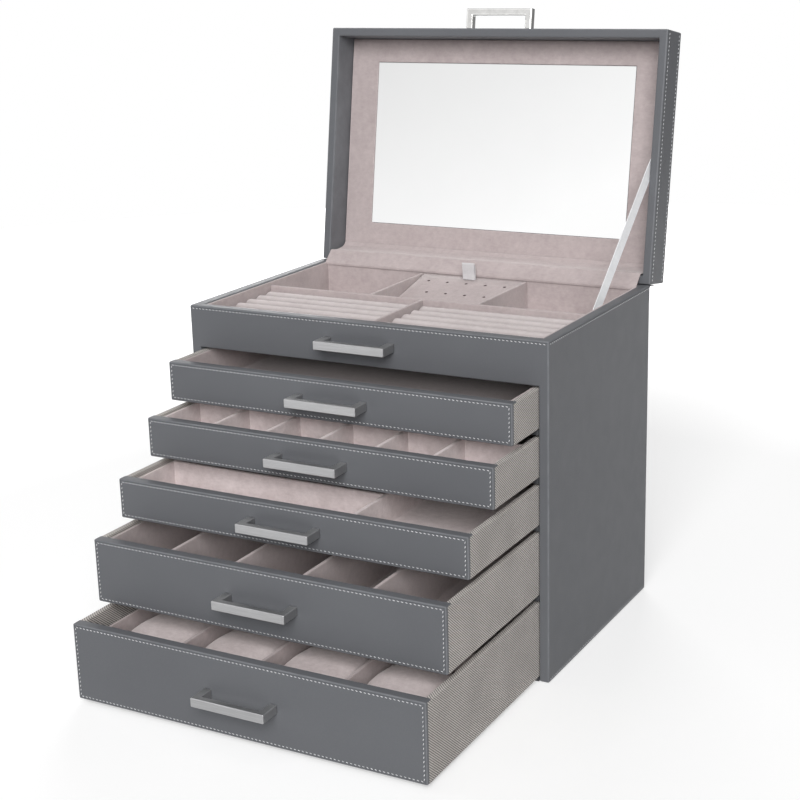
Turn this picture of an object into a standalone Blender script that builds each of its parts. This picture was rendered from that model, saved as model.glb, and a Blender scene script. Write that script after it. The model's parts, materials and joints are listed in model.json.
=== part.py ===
"""Jewellery chest: a leather-covered cabinet with five drawers, a velvet top tray and a mirrored lid.

Metres, +Z up. The origin is the centre of the cabinet's underside and the drawers pull out towards -Y.
The model stands as in use: drawers pulled out in steps, lid open against its ribbon stay.
"""
import math

import bmesh
import bpy
from mathutils import Matrix, Vector

# Cabinet
WIDTH = 0.330
DEPTH = 0.216
SIDE_WALL = 0.0085
BACK_WALL = 0.006
FASCIA_WALL = 0.009
FASCIA_HEIGHT = 0.036
BASE_BOARD = 0.003
SHELF_BOARD = 0.0045
DECK_BOARD = 0.003

# Clearances
SEAT_GAP = 0.0003
DRAWER_SIDE_GAP = 0.0006
DRAWER_TOP_GAP = 0.0014
DRAWER_BACK_GAP = 0.002
FLAP_GAP = 0.0006

# Drawers, numbered from the top
DRAWER_HEIGHTS = (0.033, 0.033, 0.033, 0.0525, 0.064)
DRAWER_PULLED_OUT = (0.046, 0.079, 0.121, 0.157, 0.190)
FRONT_WALL = 0.0085
BOX_WALL = 0.005
BOX_BOTTOM = 0.003
BOX_DROP = 0.0006

# Velvet inserts of the drawers
INSERT_WALL = 0.002
INSERT_FLOOR = 0.0015
INSERT_DROPS = (0.0012, 0.0022, 0.0040, 0.0030, 0.0090)
DIVIDER_WALL = 0.003
CRATE_COLUMNS = 6
CRATE_FRONT_CELL = 0.052
LONG_CELL_LENGTH = 0.199
LONG_CELL_DEPTH = 0.053
FIVE_CELLS = 5
WATCH_BAYS = 4
WATCH_BAY_DEPTH = 0.088
WATCH_INSERT_SLACK = 0.010

# Watch pillows
PILLOW_HEIGHT = 0.050
PILLOW_SIDE_GAP = 0.0016
PILLOW_ROLL = 0.015
PILLOW_DRAW_IN = 0.0016
PILLOW_SHOULDER = 0.62
PILLOW_FOOT = 0.86

# Top tray
TRAY_RIM_DROP = 0.001
TRAY_WALL = 0.002
TRAY_FLOOR = 0.0015
RING_SECTION_DEPTH = 0.0955
TRAY_DIVIDER_DROP = 0.003
EARRING_DIVIDER_OFFSET = 0.052
RING_ROLLS = 6
RING_ROLL_CREST_DROP = 0.0065
RING_ROLL_HEIGHT = 0.0075
RING_ROLL_FILL = 0.86
RING_ARC_STEPS = 8

# Earring board
FLAP_THICKNESS = 0.003
FLAP_REAR_DROP = 0.003
FLAP_FRONT_LIFT = 0.002
EARRING_HOLE_RADIUS = 0.0015
EARRING_HOLE_SIDES = 8
EARRING_HOLE_PITCH = 0.019
EARRING_ROW_PITCH = 0.023
EARRING_ROWS = (5, 4, 5, 4)
EARRING_REAR_MARGIN = 0.014
TAB_WIDTH = 0.012
TAB_HEIGHT = 0.017
TAB_THICKNESS = 0.0008
TAB_LEAN = 0.0035

# Lid
LID_HEIGHT = 0.0345
LID_WALL = 0.0075
LID_PANEL = 0.005
LID_GAP = 0.0003
LID_OPEN_ANGLE = math.radians(99.0)
LID_LINING = 0.002
MIRROR_WIDTH = 0.258
MIRROR_LENGTH = 0.151
MIRROR_FROM_HINGE = 0.036
MIRROR_THICKNESS = 0.0012
MIRROR_EDGE_GAP = 0.0004

# Hinge and stay
HINGE_STRIP_WING = 0.012
HINGE_STRIP_THICKNESS = 0.0008
LINING_SHEET = 0.0009
LINING_STEPS = 6
LINING_CLEARANCE = 0.0006
LINING_LID_RISE = 0.008
STAY_WIDTH = 0.010
STAY_THICKNESS = 0.0005
STAY_DIVIDER_GAP = 0.0046
STAY_LID_REACH = 0.106

# Bar pulls
PULL_LENGTH = 0.0645
PULL_REACH = 0.019
PULL_HEIGHT = 0.0073
PULL_BAR = 0.0060
PULL_LEG = 0.0062
PULL_EDGE = 0.0006
STUD_RADIUS = 0.0020
STUD_CLEARANCE = 0.0003
STUD_SIDES = 12

# Edge rounding
BOARD_EDGE = 0.0010
FRONT_EDGE = 0.0014
SOFT_EDGE = 0.0007
EDGE_SEGMENTS = 2

# Levels worked out from the sizes above
HALF_WIDTH = WIDTH / 2
FRONT_Y = -DEPTH / 2
BACK_Y = DEPTH / 2
INNER_HALF = HALF_WIDTH - SIDE_WALL - SEAT_GAP
INNER_BACK = BACK_Y - BACK_WALL - SEAT_GAP
DRAWER_HALF = HALF_WIDTH - SIDE_WALL - DRAWER_SIDE_GAP
DRAWER_LENGTH = DEPTH - BACK_WALL - SEAT_GAP - DRAWER_BACK_GAP


def stack_levels():
    """Bottom of each drawer and underside of each shelf, worked upwards from the bottom panel."""
    drawer_bottoms = []
    shelf_bottoms = []
    level = BASE_BOARD
    for height in reversed(DRAWER_HEIGHTS):
        drawer_bottoms.append(level + SEAT_GAP)
        level += SEAT_GAP + height + DRAWER_TOP_GAP
        shelf_bottoms.append(level)
        level += SHELF_BOARD
    return list(reversed(drawer_bottoms)), list(reversed(shelf_bottoms))


DRAWER_BOTTOMS, SHELF_BOTTOMS = stack_levels()
DECK_BOTTOM = SHELF_BOTTOMS[0]
HEIGHT = DECK_BOTTOM + FASCIA_HEIGHT
TRAY_RIM = HEIGHT - TRAY_RIM_DROP
TRAY_BASE = DECK_BOTTOM + DECK_BOARD + SEAT_GAP
TRAY_LEVEL = TRAY_BASE + TRAY_FLOOR + SEAT_GAP
TRAY_HALF = INNER_HALF - SEAT_GAP - TRAY_WALL - SEAT_GAP
TRAY_FRONT = FRONT_Y + FASCIA_WALL + 2 * SEAT_GAP + TRAY_WALL
TRAY_REAR = INNER_BACK - 2 * SEAT_GAP - TRAY_WALL
DIVIDER_TOP = TRAY_RIM - TRAY_DIVIDER_DROP
CROSS_FRONT = TRAY_FRONT + RING_SECTION_DEPTH
CROSS_REAR = CROSS_FRONT + DIVIDER_WALL
HINGE_Z = HEIGHT + LID_GAP / 2

for old in list(bpy.data.objects):
    bpy.data.objects.remove(old)

PARTS = bpy.data.collections.new("jewellery_chest")
CUTTERS = bpy.data.collections.new("cutters")
bpy.context.scene.collection.children.link(PARTS)
bpy.context.scene.collection.children.link(CUTTERS)

FINISHES = {
    "grey_leather": ((0.145, 0.152, 0.165), 0.48, 0.0),
    "dark_board": ((0.060, 0.062, 0.068), 0.80, 0.0),
    "taupe_velvet": ((0.520, 0.445, 0.435), 0.95, 0.0),
    "woven_cloth": ((0.390, 0.370, 0.350), 0.90, 0.0),
    "brushed_nickel": ((0.640, 0.640, 0.650), 0.32, 1.0),
    "mirror_glass": ((0.900, 0.910, 0.920), 0.02, 1.0),
    "satin_ribbon": ((0.820, 0.820, 0.840), 0.40, 0.0),
}


def finish(name):
    """Material of that finish, made the first time it is asked for."""
    material = bpy.data.materials.get(name)
    if material is None:
        colour, roughness, metallic = FINISHES[name]
        material = bpy.data.materials.new(name)
        material.use_nodes = True
        shader = material.node_tree.nodes["Principled BSDF"]
        shader.inputs["Base Color"].default_value = (*colour, 1.0)
        shader.inputs["Roughness"].default_value = roughness
        shader.inputs["Metallic"].default_value = metallic
    return material


def body_frame(name, location, turn_x=0.0):
    """Empty that carries one moving body, with its origin on the joint."""
    frame = bpy.data.objects.new(name, None)
    frame.location = location
    frame.rotation_euler = (turn_x, 0.0, 0.0)
    PARTS.objects.link(frame)
    return frame


def add_part(name, mesh, parent, finish_name):
    part = bpy.data.objects.new(name, mesh)
    part.parent = parent
    mesh.materials.clear()
    mesh.materials.append(finish(finish_name))
    PARTS.objects.link(part)
    return part


def boxes_mesh(name, boxes):
    """Mesh of one cube for each (low corner, high corner) pair."""
    shape = bmesh.new()
    for low, high in boxes:
        size = Vector(high) - Vector(low)
        centre = (Vector(high) + Vector(low)) / 2
        place = Matrix.Translation(centre) @ Matrix.Diagonal((*size, 1.0))
        bmesh.ops.create_cube(shape, size=1.0, matrix=place)
    mesh = bpy.data.meshes.new(name)
    shape.to_mesh(mesh)
    shape.free()
    return mesh


def round_edges(part, width, segments=EDGE_SEGMENTS):
    bevel = part.modifiers.new("rounded_edges", "BEVEL")
    bevel.width = width
    bevel.segments = segments
    bevel.limit_method = "ANGLE"
    bevel.angle_limit = math.radians(40)


def board(name, low, high, parent, finish_name, edge=0.0, segments=EDGE_SEGMENTS):
    """Rectangular board between two corners of its parent's frame."""
    centre = (Vector(high) + Vector(low)) / 2
    half = (Vector(high) - Vector(low)) / 2
    part = add_part(name, boxes_mesh(name, [(-half, half)]), parent, finish_name)
    part.location = centre
    if edge:
        round_edges(part, edge, segments)
    return part


def add_cutter(name, mesh, parent):
    cutter = bpy.data.objects.new(name, mesh)
    cutter.parent = parent
    cutter.hide_render = True
    cutter.display_type = "WIRE"
    CUTTERS.objects.link(cutter)
    return cutter


def combine(part, other, operation):
    boolean = part.modifiers.new(other.name, "BOOLEAN")
    boolean.operation = operation
    boolean.solver = "EXACT"
    boolean.object = other


def cut_boxes(part, name, boxes, parent):
    combine(part, add_cutter(name, boxes_mesh(name, boxes), parent), "DIFFERENCE")


def rods_mesh(name, rods, radius, sides):
    """Mesh of one closed cylinder for each (start, end) pair."""
    shape = bmesh.new()
    for start, end in rods:
        along = Vector(end) - Vector(start)
        turn = along.to_track_quat("Z", "Y").to_matrix().to_4x4()
        place = Matrix.Translation((Vector(start) + Vector(end)) / 2) @ turn
        bmesh.ops.create_cone(
            shape,
            cap_ends=True,
            segments=sides,
            radius1=radius,
            radius2=radius,
            depth=along.length,
            matrix=place,
        )
    mesh = bpy.data.meshes.new(name)
    shape.to_mesh(mesh)
    shape.free()
    return mesh


def extruded_outline(name, outline, length, parent, finish_name):
    """Flat outline of (y, z) points, extruded along X by length and centred on X = 0."""
    curve = bpy.data.curves.new(name, "CURVE")
    curve.dimensions = "2D"
    curve.fill_mode = "BOTH"
    curve.extrude = length / 2
    spline = curve.splines.new("POLY")
    spline.points.add(len(outline) - 1)
    for point, (y, z) in zip(spline.points, outline):
        point.co = (y, z, 0.0, 1.0)
    spline.use_cyclic_u = True
    drawn = bpy.data.objects.new(name + "_outline", curve)
    PARTS.objects.link(drawn)
    seen = drawn.evaluated_get(bpy.context.evaluated_depsgraph_get())
    mesh = bpy.data.meshes.new_from_object(seen)
    mesh.name = name
    shape = bmesh.new()
    shape.from_mesh(mesh)
    bmesh.ops.remove_doubles(shape, verts=shape.verts, dist=0.00001)
    stand_up = Matrix(((0, 0, 1, 0), (1, 0, 0, 0), (0, 1, 0, 0), (0, 0, 0, 1)))
    bmesh.ops.transform(shape, matrix=stand_up, verts=shape.verts)
    shape.to_mesh(mesh)
    shape.free()
    bpy.data.objects.remove(drawn)
    bpy.data.curves.remove(curve)
    return add_part(name, mesh, parent, finish_name)


def smooth_path(points, steps):
    """Catmull-Rom curve through the points, with that many steps in each span."""
    ends = [2 * points[0] - points[1]] + points + [2 * points[-1] - points[-2]]
    path = []
    for before, start, end, after in zip(ends, ends[1:], ends[2:], ends[3:]):
        for step in range(steps):
            t = step / steps
            pull = (end - before) * t
            rise = (2 * before - 5 * start + 4 * end - after) * t * t
            turn = (3 * start - before - 3 * end + after) * t * t * t
            path.append(start + (pull + rise + turn) / 2)
    path.append(points[-1])
    return path


def sheet_outline(path, thickness):
    """Closed outline of a sheet that follows the path, thickness measured to its left."""
    other_side = []
    for index, point in enumerate(path):
        ahead = path[min(index + 1, len(path) - 1)] - path[max(index - 1, 0)]
        across = Vector((-ahead.y, ahead.x)).normalized()
        other_side.append(point + across * thickness)
    return [tuple(point) for point in path + other_side[::-1]]


def shade_round(part):
    part.data.shade_smooth()
    part.data.set_sharp_from_angle(angle=math.radians(40))


def cell_row(low, high, count):
    """Equal cells across X between two corners, with a divider's thickness between them."""
    width = (high[0] - low[0] - (count - 1) * DIVIDER_WALL) / count
    cells = []
    for column in range(count):
        left = low[0] + column * (width + DIVIDER_WALL)
        cells.append(((left, low[1], low[2]), (left + width, high[1], high[2])))
    return cells


def add_pull(name, carrier, face_y, wall, centre_z, parent):
    """Square bar pull standing out towards -Y from a face, with two studs in clearance holes."""
    half = PULL_LENGTH / 2
    leg_x = half - PULL_LEG / 2
    outer = (Vector((-half, -PULL_REACH, -PULL_HEIGHT / 2)), Vector((half, -SEAT_GAP, PULL_HEIGHT / 2)))
    pull = add_part(name, boxes_mesh(name, [outer]), parent, "brushed_nickel")
    pull.location = (0.0, face_y, centre_z)
    gap_low = (PULL_LEG - half, PULL_BAR - PULL_REACH, -PULL_HEIGHT)
    gap_high = (half - PULL_LEG, PULL_HEIGHT, PULL_HEIGHT)
    cut_boxes(pull, name + "_finger_gap", [(gap_low, gap_high)], parent)
    bpy.data.objects[name + "_finger_gap"].location = pull.location
    round_edges(pull, PULL_EDGE, 1)
    stud_start = -PULL_LEG / 2
    rods = [((side * leg_x, stud_start, 0.0), (side * leg_x, wall - SEAT_GAP, 0.0)) for side in (-1, 1)]
    for number, rod in enumerate(rods, 1):
        stud_name = f"{name}_stud_{number}"
        stud = add_cutter(stud_name, rods_mesh(stud_name, [rod], STUD_RADIUS, STUD_SIDES), parent)
        stud.location = pull.location
        combine(pull, stud, "UNION")
    holes = [((side * leg_x, -wall, 0.0), (side * leg_x, 2 * wall, 0.0)) for side in (-1, 1)]
    hole_name = name + "_holes"
    hole_radius = STUD_RADIUS + STUD_CLEARANCE
    drill = add_cutter(hole_name, rods_mesh(hole_name, holes, hole_radius, STUD_SIDES), parent)
    drill.location = pull.location
    combine(carrier, drill, "DIFFERENCE")
    return pull


def build_cabinet(frame):
    for side, label in ((-1, "left"), (1, "right")):
        inner = side * (HALF_WIDTH - SIDE_WALL)
        outer = side * HALF_WIDTH
        low = (min(inner, outer), FRONT_Y, 0.0)
        high = (max(inner, outer), BACK_Y, HEIGHT)
        board(f"side_panel_{label}", low, high, frame, "grey_leather", BOARD_EDGE)
    back_low = (-INNER_HALF, BACK_Y - BACK_WALL, 0.0)
    board("back_panel", back_low, (INNER_HALF, BACK_Y, HEIGHT), frame, "grey_leather")
    bottom_high = (INNER_HALF, INNER_BACK, BASE_BOARD)
    board("bottom_panel", (-INNER_HALF, FRONT_Y, 0.0), bottom_high, frame, "dark_board")
    for number, level in enumerate(SHELF_BOTTOMS[1:], 1):
        low = (-INNER_HALF, FRONT_Y, level)
        high = (INNER_HALF, INNER_BACK, level + SHELF_BOARD)
        board(f"shelf_{number}", low, high, frame, "grey_leather", SOFT_EDGE)
    deck_front = FRONT_Y + FASCIA_WALL + SEAT_GAP
    deck_low = (-INNER_HALF, deck_front, DECK_BOTTOM)
    deck_high = (INNER_HALF, INNER_BACK, DECK_BOTTOM + DECK_BOARD)
    board("tray_deck", deck_low, deck_high, frame, "dark_board")
    fascia_low = (-INNER_HALF, FRONT_Y, DECK_BOTTOM)
    fascia_high = (INNER_HALF, FRONT_Y + FASCIA_WALL, HEIGHT)
    fascia = board("front_fascia", fascia_low, fascia_high, frame, "grey_leather", BOARD_EDGE)
    fascia_middle = DECK_BOTTOM + FASCIA_HEIGHT / 2
    add_pull("fascia_pull", fascia, FRONT_Y, FASCIA_WALL, fascia_middle, frame)


def ring_roll_outline(front, rear, bottom, crest):
    """Side view of a cushion whose top is a row of rolls with narrow valleys between them."""
    pitch = (rear - front) / RING_ROLLS
    radius = pitch / 2 * RING_ROLL_FILL
    outline = [(front, bottom)]
    for roll in range(RING_ROLLS):
        middle = front + (roll + 0.5) * pitch
        for step in range(RING_ARC_STEPS + 1):
            angle = math.pi * (1 - step / RING_ARC_STEPS)
            y = middle + radius * math.cos(angle)
            outline.append((y, crest - RING_ROLL_HEIGHT * (1 - math.sin(angle))))
    outline.append((rear, bottom))
    first, last = outline[1], outline[-2]
    outline.insert(1, (front, first[1]))
    outline.insert(-1, (rear, last[1]))
    return outline


def build_tray(frame):
    lining_half = INNER_HALF - SEAT_GAP
    front = TRAY_FRONT - TRAY_WALL - SEAT_GAP
    rear = TRAY_REAR + TRAY_WALL + SEAT_GAP
    low = (-lining_half, front, TRAY_BASE)
    lining = board("tray_lining", low, (lining_half, rear, TRAY_RIM), frame, "taupe_velvet")
    hollow_low = (TRAY_WALL - lining_half, front + TRAY_WALL, TRAY_BASE + TRAY_FLOOR)
    hollow_high = (lining_half - TRAY_WALL, rear - TRAY_WALL, HEIGHT)
    cut_boxes(lining, "tray_hollow", [(hollow_low, hollow_high)], frame)

    cross_low = (-TRAY_HALF, CROSS_FRONT, TRAY_LEVEL)
    cross_high = (TRAY_HALF, CROSS_REAR, DIVIDER_TOP)
    board("tray_cross_divider", cross_low, cross_high, frame, "taupe_velvet", SOFT_EDGE)
    half_wall = DIVIDER_WALL / 2
    ring_low = (-half_wall, TRAY_FRONT + SEAT_GAP, TRAY_LEVEL)
    ring_high = (half_wall, CROSS_FRONT - SEAT_GAP, DIVIDER_TOP)
    board("ring_divider", ring_low, ring_high, frame, "taupe_velvet", SOFT_EDGE)
    for side, label in ((-1, "left"), (1, "right")):
        middle = side * EARRING_DIVIDER_OFFSET
        low = (middle - half_wall, CROSS_REAR + SEAT_GAP, TRAY_LEVEL)
        high = (middle + half_wall, TRAY_REAR - SEAT_GAP, DIVIDER_TOP)
        board(f"earring_divider_{label}", low, high, frame, "taupe_velvet", SOFT_EDGE)

        length = TRAY_HALF - half_wall - 2 * SEAT_GAP
        crest = TRAY_RIM - RING_ROLL_CREST_DROP
        outline = ring_roll_outline(TRAY_FRONT + SEAT_GAP, CROSS_FRONT - SEAT_GAP, TRAY_LEVEL, crest)
        cushion = extruded_outline(f"ring_cushion_{label}", outline, length, frame, "taupe_velvet")
        cushion.location.x = side * (half_wall + SEAT_GAP + length / 2)
        shade_round(cushion)


def flap_axis():
    """Front top edge of the earring board, where it hinges."""
    level = TRAY_LEVEL + FLAP_FRONT_LIFT + FLAP_THICKNESS
    return Vector((0.0, CROSS_REAR + FLAP_GAP, level))


def flap_run():
    """Level distance from the hinge to the rear of the earring board's place."""
    return TRAY_REAR - FLAP_GAP - flap_axis().y


def flap_slope():
    """Angle of the resting earring board, which rises from the tray floor to the rear rim."""
    rise = TRAY_RIM - FLAP_REAR_DROP - flap_axis().z
    return math.atan2(rise, flap_run())


def flap_length():
    return (flap_run() - FLAP_THICKNESS * math.sin(flap_slope())) / math.cos(flap_slope())


def earring_holes():
    holes = []
    for row, count in enumerate(EARRING_ROWS):
        y = flap_length() - EARRING_REAR_MARGIN - row * EARRING_ROW_PITCH
        for column in range(count):
            x = (column - (count - 1) / 2) * EARRING_HOLE_PITCH
            holes.append(((x, y, -2 * FLAP_THICKNESS), (x, y, FLAP_THICKNESS)))
    return holes


def build_flap(frame):
    half = EARRING_DIVIDER_OFFSET - DIVIDER_WALL / 2 - FLAP_GAP
    length = flap_length()
    low = (-half, 0.0, -FLAP_THICKNESS)
    high = (half, length, 0.0)
    earring_board = board("earring_board", low, high, frame, "taupe_velvet", SOFT_EDGE, 1)
    drill_mesh = rods_mesh("earring_holes", earring_holes(), EARRING_HOLE_RADIUS, EARRING_HOLE_SIDES)
    combine(earring_board, add_cutter("earring_holes", drill_mesh, frame), "DIFFERENCE")

    root = length - TAB_LEAN
    path = smooth_path(
        [
            Vector((root, SEAT_GAP)),
            Vector((root + TAB_LEAN / 3, TAB_HEIGHT / 3)),
            Vector((root - TAB_LEAN / 3, 2 * TAB_HEIGHT / 3)),
            Vector((root - TAB_LEAN, TAB_HEIGHT)),
        ],
        LINING_STEPS,
    )
    outline = sheet_outline(path, TAB_THICKNESS)
    tab = extruded_outline("earring_tab", outline, TAB_WIDTH, frame, "satin_ribbon")
    shade_round(tab)


def build_lid(frame):
    """Lid pieces in the closed position, measured from the hinge axis; the frame opens them."""
    rim = LID_GAP / 2
    wall_top = rim + LID_HEIGHT - LID_PANEL - SEAT_GAP
    for side, label in ((-1, "left"), (1, "right")):
        inner = side * (HALF_WIDTH - LID_WALL)
        outer = side * HALF_WIDTH
        low = (min(inner, outer), -DEPTH, rim)
        high = (max(inner, outer), 0.0, wall_top)
        board(f"lid_wall_{label}", low, high, frame, "grey_leather", BOARD_EDGE)
    half = HALF_WIDTH - LID_WALL - SEAT_GAP
    front_low = (-half, -DEPTH, rim)
    front_high = (half, LID_WALL - DEPTH, wall_top)
    front_wall = board("lid_wall_front", front_low, front_high, frame, "grey_leather", BOARD_EDGE)
    rear_low = (-half, -LID_WALL, rim)
    board("lid_wall_rear", rear_low, (half, 0.0, wall_top), frame, "grey_leather", BOARD_EDGE)
    panel_low = (-HALF_WIDTH, -DEPTH, rim + LID_HEIGHT - LID_PANEL)
    panel_high = (HALF_WIDTH, 0.0, rim + LID_HEIGHT)
    board("lid_panel", panel_low, panel_high, frame, "grey_leather", BOARD_EDGE)
    add_pull("lid_pull", front_wall, -DEPTH, LID_WALL, rim + LID_HEIGHT / 2, frame)

    lining_top = wall_top
    lining_bottom = lining_top - LID_LINING
    lining_half = half - SEAT_GAP
    lining_front = LID_WALL + SEAT_GAP - DEPTH
    lining_rear = -LID_WALL - SEAT_GAP
    low = (-lining_half, lining_front, lining_bottom)
    lining = board("lid_lining", low, (lining_half, lining_rear, lining_top), frame, "taupe_velvet")
    window_low = (-MIRROR_WIDTH / 2, -MIRROR_FROM_HINGE - MIRROR_LENGTH, lining_bottom - LID_LINING)
    window_high = (MIRROR_WIDTH / 2, -MIRROR_FROM_HINGE, lining_top + LID_LINING)
    cut_boxes(lining, "mirror_window", [(window_low, window_high)], frame)
    inset = Vector((MIRROR_EDGE_GAP, MIRROR_EDGE_GAP, 0.0))
    mirror_low = Vector((window_low[0], window_low[1], lining_top - MIRROR_THICKNESS)) + inset
    mirror_high = Vector((window_high[0], window_high[1], lining_top)) - inset
    board("mirror", mirror_low, mirror_high, frame, "mirror_glass")


def lid_point(x, along, depth):
    """Point of the open lid: distance along it from the hinge, and depth into it from its rim."""
    swing = Matrix.Rotation(-LID_OPEN_ANGLE, 4, "X")
    local = swing @ Vector((x, -along, LID_GAP / 2 + depth))
    return local + Vector((0.0, BACK_Y, HINGE_Z))


def build_hinge_and_stay(frame):
    half = HALF_WIDTH - max(SIDE_WALL, LID_WALL) - 2 * SEAT_GAP
    lean = LID_OPEN_ANGLE - math.pi / 2
    skin = SEAT_GAP + HINGE_STRIP_THICKNESS
    corner = Vector((BACK_Y + SEAT_GAP, HINGE_Z - SEAT_GAP))
    under_lid = Vector((math.cos(lean), -math.sin(lean)))
    below_lid = Vector((-math.sin(lean), -math.cos(lean)))
    shift = Vector((0.0, -HINGE_STRIP_WING))
    inner_corner = corner + Vector((HINGE_STRIP_THICKNESS, -HINGE_STRIP_THICKNESS - SEAT_GAP))
    strip = [
        corner + below_lid * SEAT_GAP,
        corner + below_lid * SEAT_GAP + under_lid * HINGE_STRIP_WING,
        corner + below_lid * skin + under_lid * HINGE_STRIP_WING,
        inner_corner,
        inner_corner + shift,
        Vector((corner.x, inner_corner.y)) + shift,
    ]
    extruded_outline("hinge_strip", [tuple(p) for p in strip], 2 * half, frame, "grey_leather")

    lining_depth = LID_HEIGHT - LID_PANEL - SEAT_GAP - LID_LINING
    lid_path = [
        (LID_WALL - LINING_CLEARANCE, -2 * LINING_CLEARANCE),
        (LID_WALL + 2 * LINING_CLEARANCE, LINING_CLEARANCE),
        (LID_WALL + 2 * LINING_CLEARANCE, lining_depth * 0.4),
        (LID_WALL + LINING_LID_RISE / 2, lining_depth * 0.8),
        (LID_WALL + LINING_LID_RISE, lining_depth - LINING_CLEARANCE - LINING_SHEET),
    ]
    tray_face = TRAY_REAR + 2 * SEAT_GAP + LINING_SHEET
    points = [
        Vector((tray_face, TRAY_RIM + SEAT_GAP)),
        Vector((tray_face + 2 * LINING_CLEARANCE, HEIGHT + 2 * LINING_CLEARANCE)),
    ]
    points += [lid_point(0.0, along, depth).yz for along, depth in lid_path]
    path = smooth_path(points, LINING_STEPS)
    outline = sheet_outline(path, LINING_SHEET)
    gusset = extruded_outline("hinge_lining", outline, 2 * half, frame, "taupe_velvet")
    shade_round(gusset)

    stay_x = TRAY_HALF - SEAT_GAP - STAY_THICKNESS
    lower = Vector((stay_x, CROSS_REAR + STAY_DIVIDER_GAP, TRAY_RIM - STAY_WIDTH))
    upper = lid_point(stay_x, STAY_LID_REACH, STAY_WIDTH)
    run = upper - lower
    half_size = Vector((STAY_THICKNESS / 2, STAY_WIDTH / 2, run.length / 2))
    stay_mesh = boxes_mesh("lid_stay", [(-half_size, half_size)])
    stay = add_part("lid_stay", stay_mesh, frame, "satin_ribbon")
    stay.location = (lower + upper) / 2
    stay.rotation_euler = (-math.atan2(run.y, run.z), 0.0, 0.0)


def insert_space(number):
    """Corners of the space inside an insert, in its drawer's frame, and the rim's height."""
    half = DRAWER_HALF - BOX_WALL - SEAT_GAP - INSERT_WALL
    slack = WATCH_INSERT_SLACK if number == len(DRAWER_HEIGHTS) else 0.0
    front = FRONT_WALL + SEAT_GAP + INSERT_WALL
    rear = DRAWER_LENGTH - BOX_WALL - SEAT_GAP - INSERT_WALL
    floor = BOX_BOTTOM + SEAT_GAP + INSERT_FLOOR
    rim = DRAWER_HEIGHTS[number - 1] - INSERT_DROPS[number - 1]
    return Vector((slack - half, front, floor)), Vector((half, rear, rim))


def insert_cells(number):
    """Hollows of one insert, each a little higher than its rim."""
    low, high = insert_space(number)
    high = high + Vector((0.0, 0.0, INSERT_FLOOR))
    if number == 2:
        split = low.y + CRATE_FRONT_CELL
        front_row = cell_row(low, (high.x, split, high.z), CRATE_COLUMNS)
        return front_row + cell_row((low.x, split + DIVIDER_WALL, low.z), high, CRATE_COLUMNS)
    if number == 3:
        split_x = low.x + LONG_CELL_LENGTH
        split_y = low.y + LONG_CELL_DEPTH
        front_cell = (tuple(low), (split_x, split_y, high.z))
        rear_cell = ((low.x, split_y + DIVIDER_WALL, low.z), (split_x, high.y, high.z))
        right_cell = ((split_x + DIVIDER_WALL, low.y, low.z), tuple(high))
        return [front_cell, rear_cell, right_cell]
    if number == 4:
        return cell_row(low, high, FIVE_CELLS)
    if number == 5:
        split = low.y + WATCH_BAY_DEPTH
        bays = cell_row(low, (high.x, split, high.z), WATCH_BAYS)
        return bays + [((low.x, split + DIVIDER_WALL, low.z), tuple(high))]
    return [(tuple(low), tuple(high))]


def build_drawer(number, frame):
    height = DRAWER_HEIGHTS[number - 1]
    name = f"drawer_{number}"
    front_low = (-DRAWER_HALF, 0.0, 0.0)
    front_high = (DRAWER_HALF, FRONT_WALL, height)
    front = board(f"{name}_front", front_low, front_high, frame, "grey_leather", FRONT_EDGE)
    add_pull(f"{name}_pull", front, 0.0, FRONT_WALL, height / 2, frame)

    box_front = FRONT_WALL + SEAT_GAP
    box_high = (DRAWER_HALF, DRAWER_LENGTH, height - BOX_DROP)
    box = board(f"{name}_box", (-DRAWER_HALF, box_front, 0.0), box_high, frame, "woven_cloth")
    hollow_low = (BOX_WALL - DRAWER_HALF, box_front - BOX_WALL, BOX_BOTTOM)
    hollow_high = (DRAWER_HALF - BOX_WALL, DRAWER_LENGTH - BOX_WALL, height + BOX_WALL)
    cut_boxes(box, f"{name}_hollow", [(hollow_low, hollow_high)], frame)

    low, high = insert_space(number)
    wall = Vector((INSERT_WALL, INSERT_WALL, 0.0))
    floor = Vector((0.0, 0.0, INSERT_FLOOR))
    insert = board(f"{name}_insert", low - wall - floor, high + wall, frame, "taupe_velvet")
    cut_boxes(insert, f"{name}_cells", insert_cells(number), frame)


def add_pillow(name, low, high, parent):
    """Watch pillow: a coarse cage rolled over from front to back, its sides drawn in."""
    centre = (Vector(high) + Vector(low)) / 2
    half = (Vector(high) - Vector(low)) / 2
    shape = bmesh.new()
    bmesh.ops.create_cube(shape, size=2.0)
    bmesh.ops.subdivide_edges(shape, edges=shape.edges, cuts=2, use_grid_fill=True)
    for vertex in shape.verts:
        inner = [abs(value) < 0.9 for value in vertex.co]
        reach = [PILLOW_SHOULDER if near else 1.0 for near in inner]
        spot = Vector([math.copysign(far, value) for far, value in zip(reach, vertex.co)])
        place = Vector((spot.x * half.x, spot.y * half.y, spot.z * half.z))
        if spot.z > 0 and not inner[1]:
            place.z -= PILLOW_ROLL * spot.z
        if spot.z < 0 and not inner[2]:
            place.y *= PILLOW_FOOT
        if inner[2] and not inner[0] and inner[1]:
            place.x -= math.copysign(PILLOW_DRAW_IN, spot.x)
        vertex.co = place
    mesh = bpy.data.meshes.new(name)
    shape.to_mesh(mesh)
    shape.free()
    pillow = add_part(name, mesh, parent, "taupe_velvet")
    pillow.location = centre
    subdivision = pillow.modifiers.new("soft_form", "SUBSURF")
    subdivision.levels = 1
    subdivision.render_levels = 1
    mesh.shade_smooth()
    return pillow


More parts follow.
